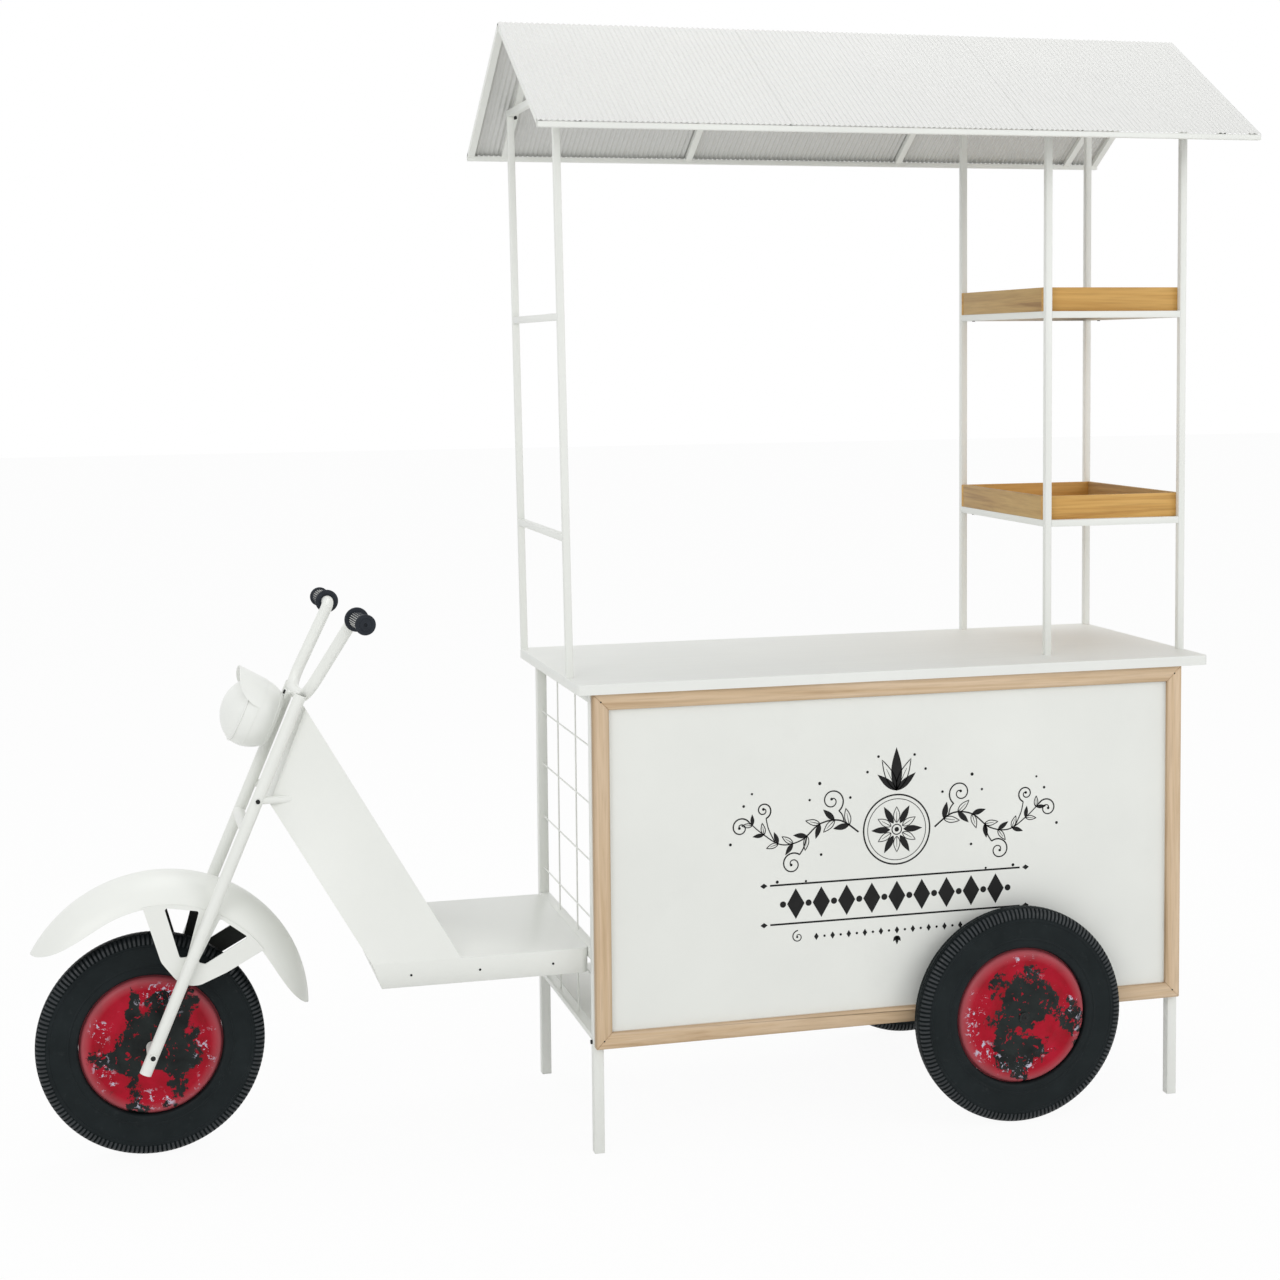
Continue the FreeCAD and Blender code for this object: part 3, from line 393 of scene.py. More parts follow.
def board(name, x, y, z, material, bevel=1.0):
    """A squared board between two X, two Y and two Z, with softened edges."""
    bm = bmesh.new()
    bmesh.ops.create_cube(bm, size=1.0)
    low = place(x[0], y[0], z[0])
    high = place(x[1], y[1], z[1])
    size = high - low
    middle = (high + low) / 2
    for v in bm.verts:
        v.co = Vector((v.co.x * size.x, v.co.y * size.y, v.co.z * size.z)) + middle
    bmesh.ops.bevel(bm, geom=bm.edges[:], offset=bevel / 1000, segments=2, profile=0.6,
                    affect="EDGES")
    mesh = bpy.data.meshes.new(name)
    bm.to_mesh(mesh)
    bm.free()
    return finish_mesh(name, mesh, [material], "cart", 50)


CENTRE_RADIUS = 0.01


def spun(name, rows, origin, axis, count, material, depth=None, second=None, pale=None,
         angle=35):
    """Turn rows of (distance along, radius) about an axis. depth() says how far a point sinks,
    pale() which faces take the second material."""
    axis = Vector(axis).normalized()
    side = axis.orthogonal().normalized()
    other = axis.cross(side)
    origin = Vector(origin)
    verts = []
    faces = []
    picks = []
    for i in range(count):
        a = 2 * math.pi * i / count
        ray = side * math.cos(a) + other * math.sin(a)
        for p, (s, r) in enumerate(rows):
            cut = depth(p, i) if depth else 0.0
            spot = origin + axis * s + ray * max(r - cut, CENTRE_RADIUS)
            verts.append(place(spot.x, spot.y, spot.z))
    rings(faces, len(rows), count, closed=False)
    if pale:
        k = len(rows) - 1
        picks = [f for f in range(len(faces)) if pale(f % k, f // k)]
    return add_mesh(name, verts, faces, material, "cart", angle, second, picks)


BEAD_SIDES = 8
BEAD_STEPS = 72
SCREW_STEPS = 24


def bead(name, centre, axis, radius, thick, material):
    """A thin ring of round section."""
    rows = []
    for i in range(BEAD_SIDES + 1):
        a = 2 * math.pi * i / BEAD_SIDES
        rows.append((thick * math.sin(a), radius + thick * math.cos(a)))
    return spun(name, rows, centre, axis, BEAD_STEPS, material, angle=60)


def screw_head(name, at, axis, radius, height, material):
    """A low round head with a cross socket."""
    quarter = SCREW_STEPS // 4
    rows = [(0, radius), (height * 0.55, radius), (height * 0.85, radius * 0.9),
            (height, radius * 0.62), (height, radius * 0.34), (height * 0.45, radius * 0.30),
            (height * 0.45, 0.02)]

    def depth(p, i):
        in_cross = p in (4, 5) and i % quarter >= quarter // 2
        return radius * 0.16 if in_cross else 0.0

    return spun(name, rows, at, axis, SCREW_STEPS, material, depth)


# ------------------------------------------------------------------ finishes of the CAD nodes
FINISH = {
    "counter": ["counter_top"],
    "shelf": ["bottom_shelf"],
    "panel": ["front_panel"],
    "sheet": ["footboard", "leg_shield", "fork_leg_near", "fork_leg_far", "fork_cross_tube",
              "shield_stubs", "handlebar", "front_fender", "fender_strut_near",
              "fender_strut_far"],
    "lamp": ["lamp_bowl", "lamp_lens", "lamp_visor", "lamp_bracket"],
    "roof": ["roof_sheet_front", "roof_sheet_back"],
    "pine_x": ["panel_frame_top"],
    "pine_x2": ["panel_frame_bottom"],
    "pine_z": ["panel_frame_left"],
    "pine_z2": ["panel_frame_right"],
    "honey_x": ["tray_lower", "tray_upper"],
    "steel": ["front_wheel_hub", "side_wheel_near_hub", "side_wheel_far_hub"],
    "dark_cap": ["side_axles"],
    "black": ["black_screws"],
    "rubber": ["grip_near", "grip_far"],
    "tyre": [w + "_tyre" for w in WHEELS],
}
for w in WHEELS:
    FINISH[w + "_red"] = [w + "_discs"]
finish_of = {n: key for key, names in FINISH.items() for n in names}
FRAME_MEMBERS = ["panel_frame_top", "panel_frame_bottom", "panel_frame_left", "panel_frame_right"]
TUBES = ["leg_front_left", "leg_back_left", "leg_front_right", "leg_back_right", "side_rails_left",
         "side_rails_right", "long_rails", "post_left_front", "post_left_back", "left_rungs",
         "tower_post_front_left", "tower_post_front_right", "tower_post_back_left",
         "tower_post_back_right", "tower_rails", "roof_ties", "roof_ridge_bar", "roof_eave_bars"]
# The radius, in mm, that the edges of a node are softened by.
SOFT_EDGE = {"footboard": 2.0, "bottom_shelf": 0.8}
SOFT_EDGE.update({name: 1.6 for name in FRAME_MEMBERS})
SOFT_EDGE.update({name: 0.9 for name in TUBES})
NODE_SHARP = 28
# The fender's section is an arch about a middle line, which runs round FENDER_CENTRE at
# FENDER_RADIUS, in metres.
FENDER_CENTRE = place(-728.3, 0, 260.8)
FENDER_RADIUS = 0.187


def under_fender(face):
    """The fender's inner skin faces its own middle line."""
    outward = face.center - FENDER_CENTRE
    middle_line = Vector((outward.x, 0, outward.z)).normalized() * FENDER_RADIUS
    return face.normal.dot(outward - middle_line) < -0.02


# The faces on the inside of a piece that take a dark sheet: painted shade where the inside is
# unlit.
PAINTED_SHADE_FACES = {
    "fender_strut_near": lambda face: face.normal.y > 0.9,
    "fender_strut_far": lambda face: face.normal.y < -0.9,
    "front_fender": under_fender,
}
for name, o in nodes.items():
    o.data.materials.clear()
    o.data.materials.append(M[finish_of.get(name, "frame")])
    o.data.shade_smooth()
    o.data.set_sharp_from_angle(angle=math.radians(NODE_SHARP))
    # Faces on the unlit inside take the dark sheet, painted shade.
    if name in PAINTED_SHADE_FACES:
        o.data.materials.append(M["inside"])
        for face in o.data.polygons:
            if PAINTED_SHADE_FACES[name](face):
                face.material_index = 1
    if name in SOFT_EDGE:
        weld = o.modifiers.new("weld", "WELD")
        weld.merge_threshold = 0.00002
        soft = o.modifiers.new("soft_edges", "BEVEL")
        soft.width = SOFT_EDGE[name] / 1000
        soft.segments = 2
        soft.limit_method = "ANGLE"
        soft.angle_limit = math.radians(50)
        soft.use_clamp_overlap = True


# ------------------------------------------------------------------ wheels
# A tyre's half section in three parts, as (radius, distance from the wheel's middle plane).
# Round the wheel it has LUGS lugs of STEPS steps each.
LUGS = 150
STEPS = 4
LUG_DEPTH = 2.0
TREAD_WAVE = 2.6
TREAD_EDGE = 12.5
TREAD_FADE = 3
SIDE = [(130.0, 6.0), (130.0, 15.0), (130.6, 18.2), (132.5, 20.6), (136.0, 21.9), (140.0, 21.6),
        (143.0, 20.6), (145.5, 20.6), (147.0, 21.7), (149.0, 21.7), (150.3, 20.9), (158.0, 21.6),
        (168.0, 22.2), (177.0, 22.3), (180.2, 22.1), (181.0, 22.9), (183.2, 22.9), (184.2, 22.0),
        (186.8, 21.9)]
SHOULDER = [(188.2, 22.0), (194.0, 21.1), (199.0, 18.7), (202.5, 15.6), (204.4, 12.6)]
TREAD = [(205.0, 10.6), (203.1, 10.0), (203.1, 8.6), (205.4, 8.0), (205.7, 5.6), (203.7, 5.0),
         (203.7, 3.6), (205.9, 3.0), (206.0, 0.6)]


def lug_step(i, sign):
    """The step within a lug; the lugs of the far side lie between those of the near one."""
    return (i + (STEPS // 2 if sign < 0 else 0)) % STEPS


def tyre_point(kind, r, y, i, sign):
    """One point of the tyre's section at a step round it: shoulders are notched between lugs,
    and the tread's ribs wave."""
    step = lug_step(i, sign)
    if kind == "shoulder" and step == STEPS - 1:
        return r - LUG_DEPTH, sign * (y - LUG_DEPTH)
    if kind == "tread":
        swing = (abs(step - STEPS / 2) / (STEPS / 2) - 0.5) * TREAD_WAVE
        return r, sign * y + swing * min(1.0, (TREAD_EDGE - abs(y)) / TREAD_FADE)
    return r, sign * y


def on_lug(f, section):
    """Whether a face lies on top of a shoulder lug."""
    i, p = divmod(f, len(section))
    kind, sign = section[p][0], section[p][3]
    next_kind = section[(p + 1) % len(section)][0]
    return lug_step(i, sign) < STEPS - 2 and kind == "shoulder" and next_kind == "shoulder"


def make_tyre(wheel, cx, cy):
    """A moulded tyre about a wheel's middle."""
    half = [("side", r, y) for r, y in SIDE] + [("shoulder", r, y) for r, y in SHOULDER]
    half += [("tread", r, y) for r, y in TREAD]
    section = [(k, r, y, 1) for k, r, y in half] + [(k, r, y, -1) for k, r, y in reversed(half)]
    count = LUGS * STEPS
    verts = []
    faces = []
    for i in range(count):
        a = 2 * math.pi * i / count
        for kind, r, y, sign in section:
            r, y = tyre_point(kind, r, y, i, sign)
            verts.append(place(cx + r * math.cos(a), cy + y, AXLE_Z + r * math.sin(a)))
    rings(faces, len(section), count)
    # Faces on top of the shoulder lugs take the lighter rubber, a painted highlight.
    lugs = [f for f in range(len(faces)) if on_lug(f, section)]
    o = add_mesh(wheel + "_tyre_moulded", verts, faces, M["tyre"], wheel, 32,
                 M["tyre_worn"], lugs)
    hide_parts(wheel + "_tyre")


# A pressed disc's face, as (radius, distance from the wheel's middle plane).
DISC_LINE = [(6.5, 28.0), (10.0, 28.1), (15.5, 28.1), (18.0, 27.6), (24.0, 27.2), (36.0, 26.8),
             (48.0, 26.2), (57.0, 25.4), (62.0, 24.5), (65.0, 24.3), (67.5, 24.9), (70.5, 25.2),
             (73.5, 24.7), (77.0, 23.5), (83.0, 22.4), (89.0, 21.5), (94.0, 21.1), (98.0, 21.4),
             (102.0, 22.4), (106.5, 23.7), (111.0, 24.5), (115.0, 24.5), (119.0, 23.6),
             (122.5, 21.7), (125.0, 19.0), (126.3, 15.5), (126.8, 11.0), (129.6, 9.5),
             (129.6, 6.0)]
DISC_STEPS = 168
DISC_WALL = 1.4
RIM_FROM = 120
RIM_WALL = 0.6


def make_discs(wheel, cx, cy):
    """Both sheets of a wheel, the near one the far one's mirror image."""
    back = [(r - (RIM_WALL if r > RIM_FROM else 0.0), y - DISC_WALL)
            for r, y in reversed(DISC_LINE)]
    section = DISC_LINE + back
    verts = []
    faces = []
    for sign in (1, -1):
        start = len(verts)
        for i in range(DISC_STEPS):
            a = 2 * math.pi * i / DISC_STEPS
            for r, y in section:
                verts.append(place(cx + r * math.cos(a), cy + sign * y, AXLE_Z + r * math.sin(a)))
        rings(faces, len(section), DISC_STEPS, start=start)
    o = add_mesh(wheel + "_discs_pressed", verts, faces, M[wheel + "_red"], wheel, 60)
    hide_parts(wheel + "_discs")


# How far the heads in the side wheels' caps and in the fork's legs are from the middle line.
AXLE_HEAD_Y = 327.1
FORK_HEAD_Y = 102.34
for wheel, (wx, wy) in WHEELS.items():
    make_tyre(wheel, wx, wy)
    make_discs(wheel, wx, wy)
for tag, sign in (("near", -1), ("far", 1)):
    outward = (0, sign, 0)
    cap = (SIDE_AXLE_X, sign * AXLE_HEAD_Y, AXLE_Z)
    fork_end = (FRONT_AXLE_X, sign * FORK_HEAD_Y, AXLE_Z)
    screw_head("axle_screw_" + tag, cap, outward, 5.5, 1.6, M["black"])
    screw_head("fork_screw_" + tag, fork_end, outward, 4.6, 0.8, M["black"])


# ------------------------------------------------------------------ grips
# The handlebar is turned by BAR_TURN about an upright line through BAR_BASE.
BAR_BASE = (-473.0, 0.0)
BAR_TURN = math.radians(3.2)
GRIP_X, GRIP_Z = -387.5, 991.0
GRIP_START, GRIP_END = 158.0, 250.0
# A grip's flange, grid and end cap, as (distance along it, radius).
FLANGE = [(0.4, 11.1), (0.0, 12.0), (0.0, 20.4), (0.8, 21.6), (2.2, 22.0), (4.2, 22.0),
          (5.6, 21.4), (6.2, 19.6), (6.4, 14.6)]
END_CAP = [(85.4, 14.6), (86.0, 17.4), (86.8, 18.3), (90.4, 18.5), (91.4, 18.0), (92.0, 16.8),
           (92.0, 12.2), (91.5, 11.8), (91.5, 10.6), (92.0, 10.2), (92.0, 3.2), (89.5, 2.6),
           (89.0, 0.02)]
GRID_START, GRID_LENGTH = 7.0, 78.0
GRID_RADIUS, GROOVE_DEPTH = 14.5, 0.8
CELLS_ROUND, CELLS_ALONG = 22, 13
# Each cell has four rows along the grip, two on its top and two in its groove, and as many
# steps round it.
CELL_ROWS = (0.0, 0.62, 0.66, 0.96)
CELL_STEPS = 4


def turn_with_bar(x, y):
    """Where a point of the straight handlebar is on the turned one."""
    dx = x - BAR_BASE[0]
    dy = y - BAR_BASE[1]
    return (BAR_BASE[0] + dx * math.cos(BAR_TURN) - dy * math.sin(BAR_TURN),
            BAR_BASE[1] + dx * math.sin(BAR_TURN) + dy * math.cos(BAR_TURN))


def make_grip(tag, sign):
    """A rubber grip with a flange, a grid of pale grooves and an end cap."""
    start = turn_with_bar(GRIP_X, sign * GRIP_START)
    stop = turn_with_bar(GRIP_X, sign * GRIP_END)
    axis = Vector((stop[0] - start[0], stop[1] - start[1], 0))
    cell = GRID_LENGTH / CELLS_ALONG
    grid = [(GRID_START + c * cell + cell * share, GRID_RADIUS)
            for c in range(CELLS_ALONG) for share in CELL_ROWS]
    first = len(FLANGE)
    last = first + len(grid)

    def depth(p, i):
        row = (p - first) % len(CELL_ROWS)
        in_groove = first <= p < last and (row >= 2 or i % CELL_STEPS == CELL_STEPS - 1)
        return GROOVE_DEPTH if in_groove else 0.0

    def pale(p, i):
        row = (p - first) % len(CELL_ROWS)
        return first <= p < last - 1 and (row == 2 or i % CELL_STEPS == CELL_STEPS - 1)

    o = spun("grip_moulded_" + tag, FLANGE + grid + END_CAP, (start[0], start[1], GRIP_Z), axis,
             CELLS_ROUND * CELL_STEPS, M["rubber"], depth, M["chalk"], pale)
    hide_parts("grip_" + tag)


make_grip("near", -1)
make_grip("far", 1)


# ------------------------------------------------------------------ headlamp seams
# Beads round the bowl: each one's place along the lamp's axis, and its thickness.
LAMP_MIDDLE = Vector((-557.0, 0, 810.0))
LAMP_RADIUS = 65.0
LAMP_BEADS = {"lamp_rim": (20.0, 2.3), "lamp_seam": (-3.0, 0.7), "lamp_back_seam": (-38.0, 0.8)}
for name, (along, thick) in LAMP_BEADS.items():
    ring_radius = math.sqrt(LAMP_RADIUS ** 2 - along ** 2)
    middle = LAMP_MIDDLE + LAMP_AXIS * along
    bead(name, middle, LAMP_AXIS, ring_radius, thick, M["lamp"])


# ------------------------------------------------------------------ trays
TRAY_X = (951.5, 1249.0)
TRAY_Y = (-160.0, 252.0)
TRAY_WALL = 10.0
TRAY_HEIGHT = 46.0
TRAY_FLOOR = 6.0
TRAY_GAP = 0.25
TRAY_SLATS = 4
TRAY_LEVELS = {"lower": 1133.0, "upper": 1536.5}


def make_tray(tag, z0):
    """Two long boards, two short ones between them, and a floor of slats."""
    x0, x1 = TRAY_X
    y0, y1 = TRAY_Y
    t = TRAY_WALL
    between = (y0 + t + TRAY_GAP, y1 - t - TRAY_GAP)
    walls = (("front", (x0, x1), (y0, y0 + t), "honey_x"),
             ("back", (x0, x1), (y1 - t, y1), "honey_x2"),
             ("left", (x0, x0 + t), between, "brown_y"),
             ("right", (x1 - t, x1), between, "brown_y2"))
    pieces = [board("tray_%s_%s" % (tag, side), x, y, (z0, z0 + TRAY_HEIGHT), M[key])
              for side, x, y, key in walls]
    share = (y1 - y0 - 2 * t) / TRAY_SLATS
    for i in range(TRAY_SLATS):
        a = y0 + t + i * share
        pieces.append(board("tray_%s_floor_%d" % (tag, i + 1), (x0 + t, x1 - t),
                            (a + TRAY_GAP, a + share - TRAY_GAP), (z0, z0 + TRAY_FLOOR),
                            M["honey_x" if i % 2 else "honey_x2"], 0.6))
    for o in pieces:
        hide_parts("tray_" + tag)


for tag, level in TRAY_LEVELS.items():
    make_tray(tag, level)


# ------------------------------------------------------------------ the panel's printed ornament
# A plain traditional flourish: a rosette with scrolls and leaves on both sides, a crown of
# petals over it, and a band of lozenges under it. All of it is drawn from formulas, in mm
# from the rosette's middle at ART_X and ART_Z, a quarter of a millimetre off the panel.
PANEL_FACE = -253.5
ART_X = 613.5
ART_Z = 566.0
ART_Y = PANEL_FACE - 0.25
art_verts = []
art_faces = []


def art_polygon(points):
    """A filled form that its middle can see all of, drawn as a fan."""
    start = len(art_verts)
    n = len(points)
    mid = (sum(p[0] for p in points) / n, sum(p[1] for p in points) / n)
    for x, z in [mid] + points:
        art_verts.append(place(ART_X + x, ART_Y, ART_Z + z))
    for i in range(n):
        art_faces.append((start, start + 1 + i, start + 1 + (i + 1) % n))


def art_stroke(points, widths):
    """A line of changing width."""
    start = len(art_verts)
    for i, (x, z) in enumerate(points):
        ax, az = points[max(i - 1, 0)]
        bx, bz = points[min(i + 1, len(points) - 1)]
        long = math.hypot(bx - ax, bz - az) or 1.0
        nx, nz = -(bz - az) / long, (bx - ax) / long
        w = widths(i / (len(points) - 1)) / 2
        art_verts.append(place(ART_X + x + nx * w, ART_Y, ART_Z + z + nz * w))
        art_verts.append(place(ART_X + x - nx * w, ART_Y, ART_Z + z - nz * w))
    for i in range(len(points) - 1):
        a = start + 2 * i
        art_faces.append((a, a + 1, a + 3, a + 2))


CURVE_STEPS = 14
PETAL_STEPS = 12
CIRCLE_STEPS = 64
VOLUTE_STEPS = 40


def through(points):
    """A smooth curve through the points."""
    out = []
    for i in range(len(points) - 1):
        p0 = points[max(i - 1, 0)]
        p1, p2 = points[i], points[i + 1]
        p3 = points[min(i + 2, len(points) - 1)]
        for k in range(CURVE_STEPS):
            t = k / CURVE_STEPS
            out.append(tuple(0.5 * (2 * b + (c - a) * t + (2 * a - 5 * b + 4 * c - d) * t * t
                                    + (3 * b - a - 3 * c + d) * t ** 3)
                             for a, b, c, d in zip(p0, p1, p2, p3)))
    return out + [points[-1]]


def art_petal(x, z, degrees, length, width, outline=0.0):
    """A pointed petal from its root; with an outline it is drawn as a line, and has a vein."""
    turn = math.radians(degrees)
    edge = []
    for side in (1, -1):
        steps = range(PETAL_STEPS + 1) if side > 0 else range(PETAL_STEPS - 1, 0, -1)
        for i in steps:
            t = i / PETAL_STEPS
            w = side * width / 2 * math.sin(math.pi * t ** 0.8)
            edge.append((x + length * t * math.cos(turn) - w * math.sin(turn),
                         z + length * t * math.sin(turn) + w * math.cos(turn)))
    if not outline:
        art_polygon(edge)
        return
    art_stroke(edge + [edge[0]], lambda t: outline)
    tip = (x + length * 0.7 * math.cos(turn), z + length * 0.7 * math.sin(turn))
    vein = [(x, z), ((x + tip[0]) / 2, (z + tip[1]) / 2), tip]
    art_stroke(vein, lambda t: outline * (1 - 0.6 * t))


def round_points(x, z, radius, sides, count):
    """The first points of a many-sided ring, as many as asked for."""
    return [(x + radius * math.cos(2 * math.pi * i / sides),
             z + radius * math.sin(2 * math.pi * i / sides)) for i in range(count)]


def art_dot(x, z, radius, sides=20):
    art_polygon(round_points(x, z, radius, sides, sides))


def art_circle(radius, width):
    """A ring about the rosette's middle."""
    art_stroke(round_points(0, 0, radius, CIRCLE_STEPS, CIRCLE_STEPS + 1), lambda t: width)


def art_volute(x, z, start, turns, radius, width, hand):
    """A curl that winds in to a dot."""
    line = []
    for i in range(VOLUTE_STEPS + 1):
        t = i / VOLUTE_STEPS
        a = math.radians(start) + hand * turns * 2 * math.pi * t
        r = radius * (1 - 0.86 * t)
        line.append((x + r * math.cos(a), z + r * math.sin(a)))
    art_stroke(line, lambda t: width * (1 - 0.35 * t))
    art_dot(line[-1][0], line[-1][1], width * 0.95, 14)


def art_lozenge(x, z, width, height):
    w, h = width / 2, height / 2
    art_polygon([(x - w, z), (x, z - h), (x + w, z), (x, z + h)])


# The right half of the flourish: its stem, its curls as (x, z, first angle, radius), the links
# from the stem to three of them with their widths, the places of its leaves along the stem,
# and its dots as (x, z, radius).
STEM = [(76, 0), (112, 24), (152, 20), (188, -8), (228, -14), (266, 10), (292, 34)]
CURLS = ((306, 22, 150, 19), (128, 62, 235, 24), (206, -52, 130, 22), (262, 52, 250, 16))
LINKS = (([(104, 20), (108, 34), (115, 43)], 2.4), ([(178, -2), (184, -22), (192, -35)], 2.4),
         ([(240, -9), (252, 16), (257, 37)], 2.0))
LEAVES = (0.10, 0.22, 0.34, 0.46, 0.58, 0.70, 0.82, 0.93)
DOTS = ((152, 96, 3.2), (172, 66, 2.4), (236, -84, 3.0), (180, -86, 2.2), (300, 62, 2.6),
        (326, -8, 2.8), (92, 66, 2.6), (284, 84, 2.2), (150, -38, 2.6))


def draw_flourish(side):
    """One half: curls on a waving stem, with pairs of leaves set along it."""
    stem = [(side * x, z) for x, z in through(STEM)]
    art_stroke(stem, lambda t: 3.2 - 1.4 * t)
    for x, z, start, radius in CURLS:
        art_volute(side * x, z, start if side > 0 else 180 - start, 1.45, radius, 2.8, -side)
    for line, width in LINKS:
        art_stroke([(side * x, z) for x, z in through(line)], lambda t, w=width: w)
    count = len(stem)
    for k, share in enumerate(LEAVES):
        i = int(share * (count - 1))
        x, z = stem[i]
        ahead = stem[min(i + 2, count - 1)]
        lean = math.degrees(math.atan2(ahead[1] - z, ahead[0] - x))
        size = 34 - 14 * share
        art_petal(x, z, lean + 44, size, size * 0.36, 1.7 if k % 2 else 0.0)
        art_petal(x, z, lean - 44, size, size * 0.36, 0.0 if k % 2 else 1.7)
    for x, z, r in DOTS:
        art_dot(side * x, z, r)


def draw_rosette():
    """Twelve petals in two rings, long filled ones and short outlined ones in turn."""
    art_circle(66, 3.0)
    art_circle(58, 1.3)
    for i in range(12):
        degrees = 30 * i
        x, z = 13 * math.cos(math.radians(degrees)), 13 * math.sin(math.radians(degrees))
        length, outline = (30, 1.5) if i % 2 else (38, 0.0)
        art_petal(x, z, degrees, length, 12.5, outline)
    art_circle(9.5, 2.0)
    art_dot(0, 0, 4.5)


def draw_row(z, pitch, reach, dot, lozenge):
    """Lozenges and dots in turn, as far as reach places from the middle on both sides."""
    for i in range(-reach, reach + 1):
        if i % 2:
            art_dot(i * pitch, z, dot)
        else:
            art_lozenge(i * pitch, z, *lozenge)


# The crown's petals as (degrees, length, width, outline), and the dots beside it.
CROWN = ((90, 82, 22, 0.0), (64, 66, 17, 1.8), (116, 66, 17, 1.8), (40, 50, 14, 0.0),
         (140, 50, 14, 0.0))
CROWN_Z = 74
CROWN_DOTS = ((-36, 140), (36, 140), (-58, 112), (58, 112))
# The band under the rosette: two lines with a row between them, and a smaller row below.
BAND_LINES = (-90, -164)
BAND_HALF = 250
BAND_PITCH = 25
BAND_Z = -127.0
SMALL_ROW_Z = -192


def draw_ornament():
    draw_rosette()
    for side in (1, -1):
        draw_flourish(side)
    for petal in CROWN:
        art_petal(0, CROWN_Z, *petal)
    for x, z in CROWN_DOTS:
        art_dot(x, z, 2.6)
    for z in BAND_LINES:
        line = [(x, z) for x in range(-BAND_HALF, BAND_HALF + 1, BAND_PITCH)]
        art_stroke(line, lambda t: 3.4)
        for side in (1, -1):
            art_lozenge(side * (BAND_HALF + 12), z, 14, 10)
    draw_row(BAND_Z, BAND_PITCH, 9, 6.0, (34, 58))
    draw_row(SMALL_ROW_Z, 16, 10, 2.4, (9, 14))
    for side in (1, -1):
        art_volute(side * 196, SMALL_ROW_Z + 2, 90, 1.3, 12, 2.2, -side)
    for degrees, length in ((270, 17), (235, 13), (305, 13)):
        art_petal(0, SMALL_ROW_Z - 11, degrees, length, 6.5)


draw_ornament()
add_mesh("panel_ornament", art_verts, art_faces, M["ink"])


# ------------------------------------------------------------------ small trim
PANEL_X = (59.0, 1168.0)
PANEL_Z = (228.0, 821.0)
LIP_WIDTH, LIP_HEIGHT = 2.2, 1.2
RIVETS_X = (-300.0, -175.0, -40.0)
RIVET_Y, RIVET_Z = -215.0, 352.0
NAIL_Y = -261.4
NAILS = ((FRAME_LEFT, FRAME_TOP), (FRAME_RIGHT, FRAME_TOP), (FRAME_LEFT, FRAME_BOTTOM),
         (FRAME_RIGHT, FRAME_BOTTOM))
TO_PANEL_SIDE = (0, -1, 0)


def make_panel_lip():
    """The thin pale strip that holds the panel against its frame, mitred at the corners."""
    w, d = LIP_WIDTH, LIP_HEIGHT
    x0, x1 = PANEL_X
    z0, z1 = PANEL_Z
    outer = [(x0, z0), (x1, z0), (x1, z1), (x0, z1)]
    inner = [(x0 + w, z0 + w), (x1 - w, z0 + w), (x1 - w, z1 - w), (x0 + w, z1 - w)]
    verts = []
    faces = []
    for (ox, oz), (ix, iz) in zip(outer, inner):
        verts += [place(ox, PANEL_FACE, oz), place(ox, PANEL_FACE - d, oz),
                  place(ix, PANEL_FACE - d, iz), place(ix, PANEL_FACE, iz)]
    rings(faces, 4, 4)
    add_mesh("panel_lip", verts, faces, M["panel"])


make_panel_lip()
for i, x in enumerate(RIVETS_X):
    screw_head("footboard_rivet_%d" % (i + 1), (x, RIVET_Y, RIVET_Z), TO_PANEL_SIDE, 2.2, 0.7,
               M["dark_cap"])
for i, (x, z) in enumerate(NAILS):
    screw_head("frame_nail_%d" % (i + 1), (x, NAIL_Y, z), TO_PANEL_SIDE, 1.5, 0.15, M["dark_cap"])


# ------------------------------------------------------------------ camera
scene = bpy.context.scene
cam_data = bpy.data.cameras.new("camera")
cam = bpy.data.objects.new("camera", cam_data)
scene.collection.objects.link(cam)
scene.camera = cam
# The photograph's side and the length of its lens, in its own pixels, and the point that the
# lens looks straight at.
IMAGE = 1280.0
FOCAL = 2239.2
CENTRE = (684.4, 512.0)
EYE = (-860.79, -4158.05, 1464.35)
YAW, PITCH, ROLL = 0.2665, 0.0714, -0.0085
forward = Vector((math.sin(YAW) * math.cos(PITCH), math.cos(YAW) * math.cos(PITCH),
                  -math.sin(PITCH)))
across = Vector((math.cos(YAW), -math.sin(YAW), 0))
up = across.cross(forward)
right = across * math.cos(ROLL) + up * math.sin(ROLL)
over = up * math.cos(ROLL) - across * math.sin(ROLL)
aim = Matrix((right, over, -forward)).transposed().to_4x4()
cam.matrix_world = Matrix.Translation(place(*EYE)) @ aim
cam_data.sensor_width = 36.0
cam_data.lens = FOCAL * cam_data.sensor_width / IMAGE
cam_data.shift_x = (IMAGE / 2 - CENTRE[0]) / IMAGE
cam_data.shift_y = (CENTRE[1] - IMAGE / 2) / IMAGE
cam_data.clip_start = 0.05
cam_data.clip_end = 80


# ------------------------------------------------------------------ floor, world and lights
def seen_directly(tree):
    """1 for what the camera, a gloss or a glass sees, 0 for what only lights the object."""
    path = tree.nodes.new("ShaderNodeLightPath")
    total = path.outputs["Is Camera Ray"]
    for other in ("Is Glossy Ray", "Is Transmission Ray"):
        m = tree.nodes.new("ShaderNodeMath")
        m.operation = "MAXIMUM"
        tree.links.new(total, m.inputs[0])
        tree.links.new(path.outputs[other], m.inputs[1])
        total = m.outputs[0]
    return total


FLOOR_REACH = 30.0
FLOOR_WHITE = 0.94
WORLD_LIGHT = 0.72
LAMP_TARGET = (0, 0, 0.9)


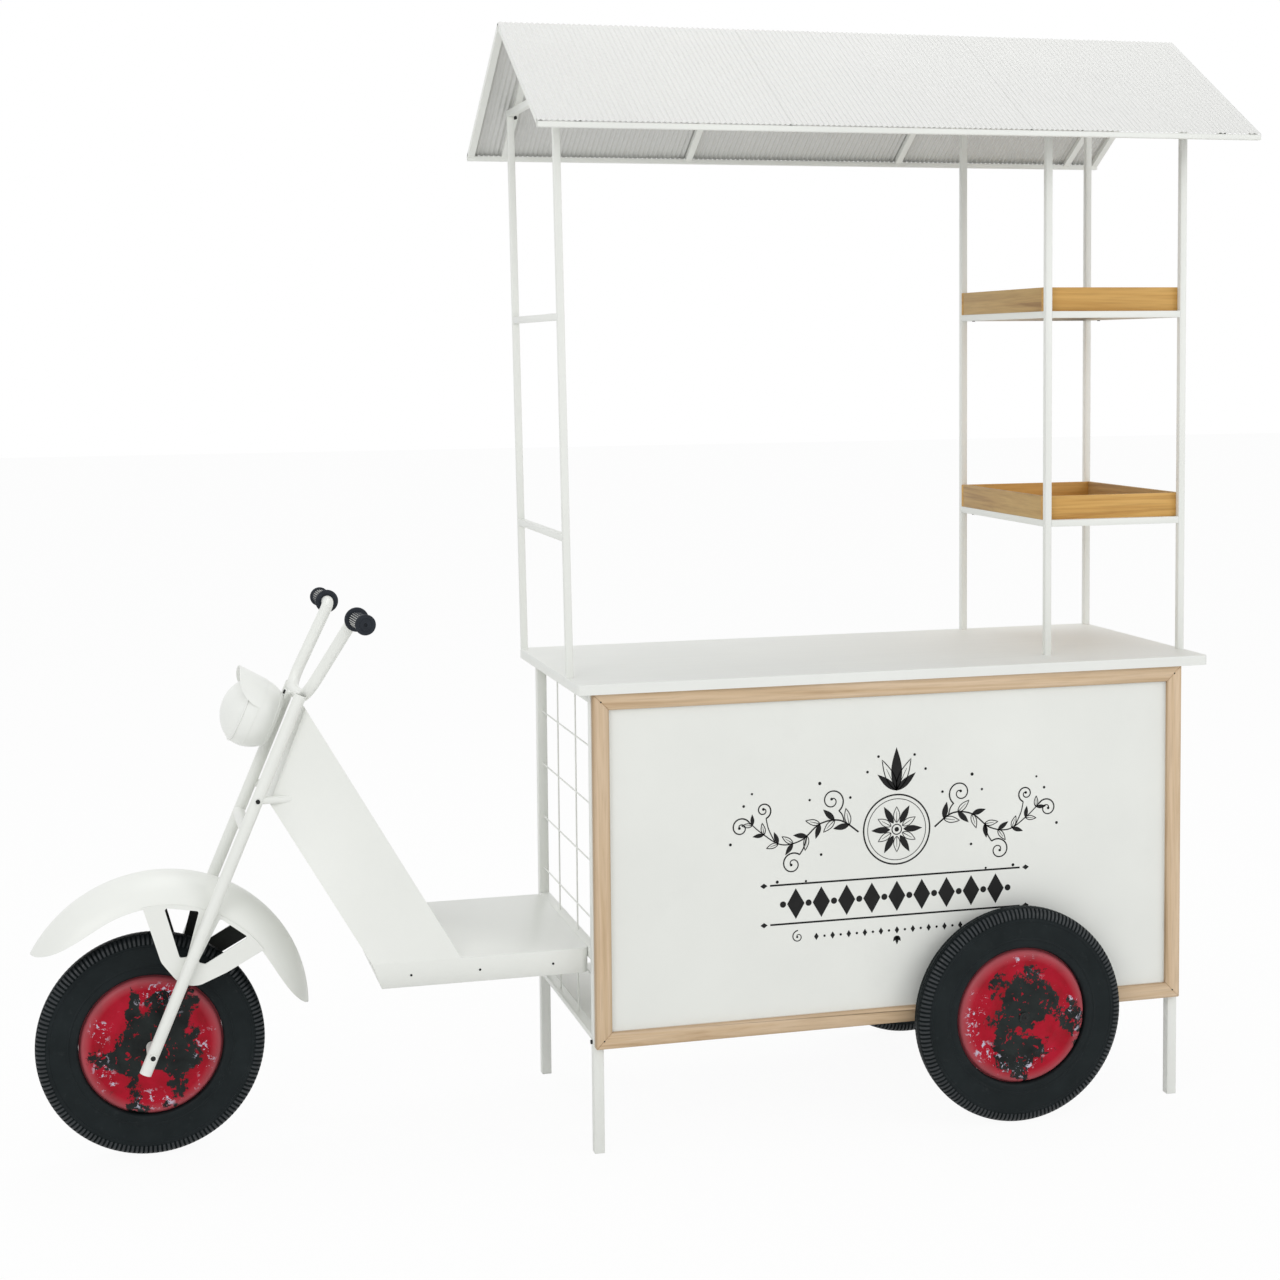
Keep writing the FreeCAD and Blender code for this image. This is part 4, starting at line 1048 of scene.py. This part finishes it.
def make_floor():
    """A pale floor, seen mostly as plain white; the rest of it keeps the object's shadow."""
    mesh = bpy.data.meshes.new("floor")
    corners = ((-1, -1), (1, -1), (1, 1), (-1, 1))
    mesh.from_pydata([(x * FLOOR_REACH, y * FLOOR_REACH, 0) for x, y in corners], [],
                     [(0, 1, 2, 3)])
    floor = bpy.data.objects.new("floor", mesh)
    scene.collection.objects.link(floor)
    mat = bpy.data.materials.new("floor_pale")
    mat.use_nodes = True
    tree = mat.node_tree
    tree.nodes.clear()
    out = tree.nodes.new("ShaderNodeOutputMaterial")
    matt = tree.nodes.new("ShaderNodeBsdfDiffuse")
    matt.inputs[0].default_value = (0.88, 0.88, 0.87, 1)
    glow = tree.nodes.new("ShaderNodeEmission")
    glow.inputs[0].default_value = (1, 1, 1, 1)
    share = tree.nodes.new("ShaderNodeMath")
    share.operation = "MULTIPLY"
    share.inputs[1].default_value = FLOOR_WHITE
    tree.links.new(seen_directly(tree), share.inputs[0])
    blend = tree.nodes.new("ShaderNodeMixShader")
    tree.links.new(share.outputs[0], blend.inputs[0])
    tree.links.new(matt.outputs[0], blend.inputs[1])
    tree.links.new(glow.outputs[0], blend.inputs[2])
    tree.links.new(blend.outputs[0], out.inputs[0])
    mesh.materials.append(mat)


def make_world():
    """White where it is seen, and a softer light on the object."""
    world = bpy.data.worlds.new("world")
    scene.world = world
    world.use_nodes = True
    tree = world.node_tree
    tree.nodes.clear()
    out = tree.nodes.new("ShaderNodeOutputWorld")
    seen = tree.nodes.new("ShaderNodeBackground")
    seen.inputs[0].default_value = (1, 1, 1, 1)
    seen.inputs[1].default_value = 1.0
    light = tree.nodes.new("ShaderNodeBackground")
    light.inputs[0].default_value = (0.98, 0.99, 1.0, 1)
    light.inputs[1].default_value = WORLD_LIGHT
    blend = tree.nodes.new("ShaderNodeMixShader")
    tree.links.new(seen_directly(tree), blend.inputs[0])
    tree.links.new(light.outputs[0], blend.inputs[1])
    tree.links.new(seen.outputs[0], blend.inputs[2])
    tree.links.new(blend.outputs[0], out.inputs[0])


def lamp_light(name, at, target, size, power):
    """A flat lamp that points at its target."""
    data = bpy.data.lights.new(name, "AREA")
    data.shape = "RECTANGLE"
    data.size, data.size_y = size
    data.energy = power
    o = bpy.data.objects.new(name, data)
    scene.collection.objects.link(o)
    o.location = at
    o.rotation_mode = "QUATERNION"
    o.rotation_quaternion = (Vector(target) - Vector(at)).to_track_quat("-Z", "Y")
    o.visible_camera = False


make_floor()
make_world()
lamp_light("key", (-3.4, -3.8, 3.2), LAMP_TARGET, (2.6, 2.2), 56)
lamp_light("fill", (3.4, -3.6, 2.4), LAMP_TARGET, (2.4, 2.4), 36)
lamp_light("top", (0.2, 0.8, 4.8), (0, 0, 1.0), (3.0, 3.0), 50)

scene.view_settings.view_transform = "Standard"
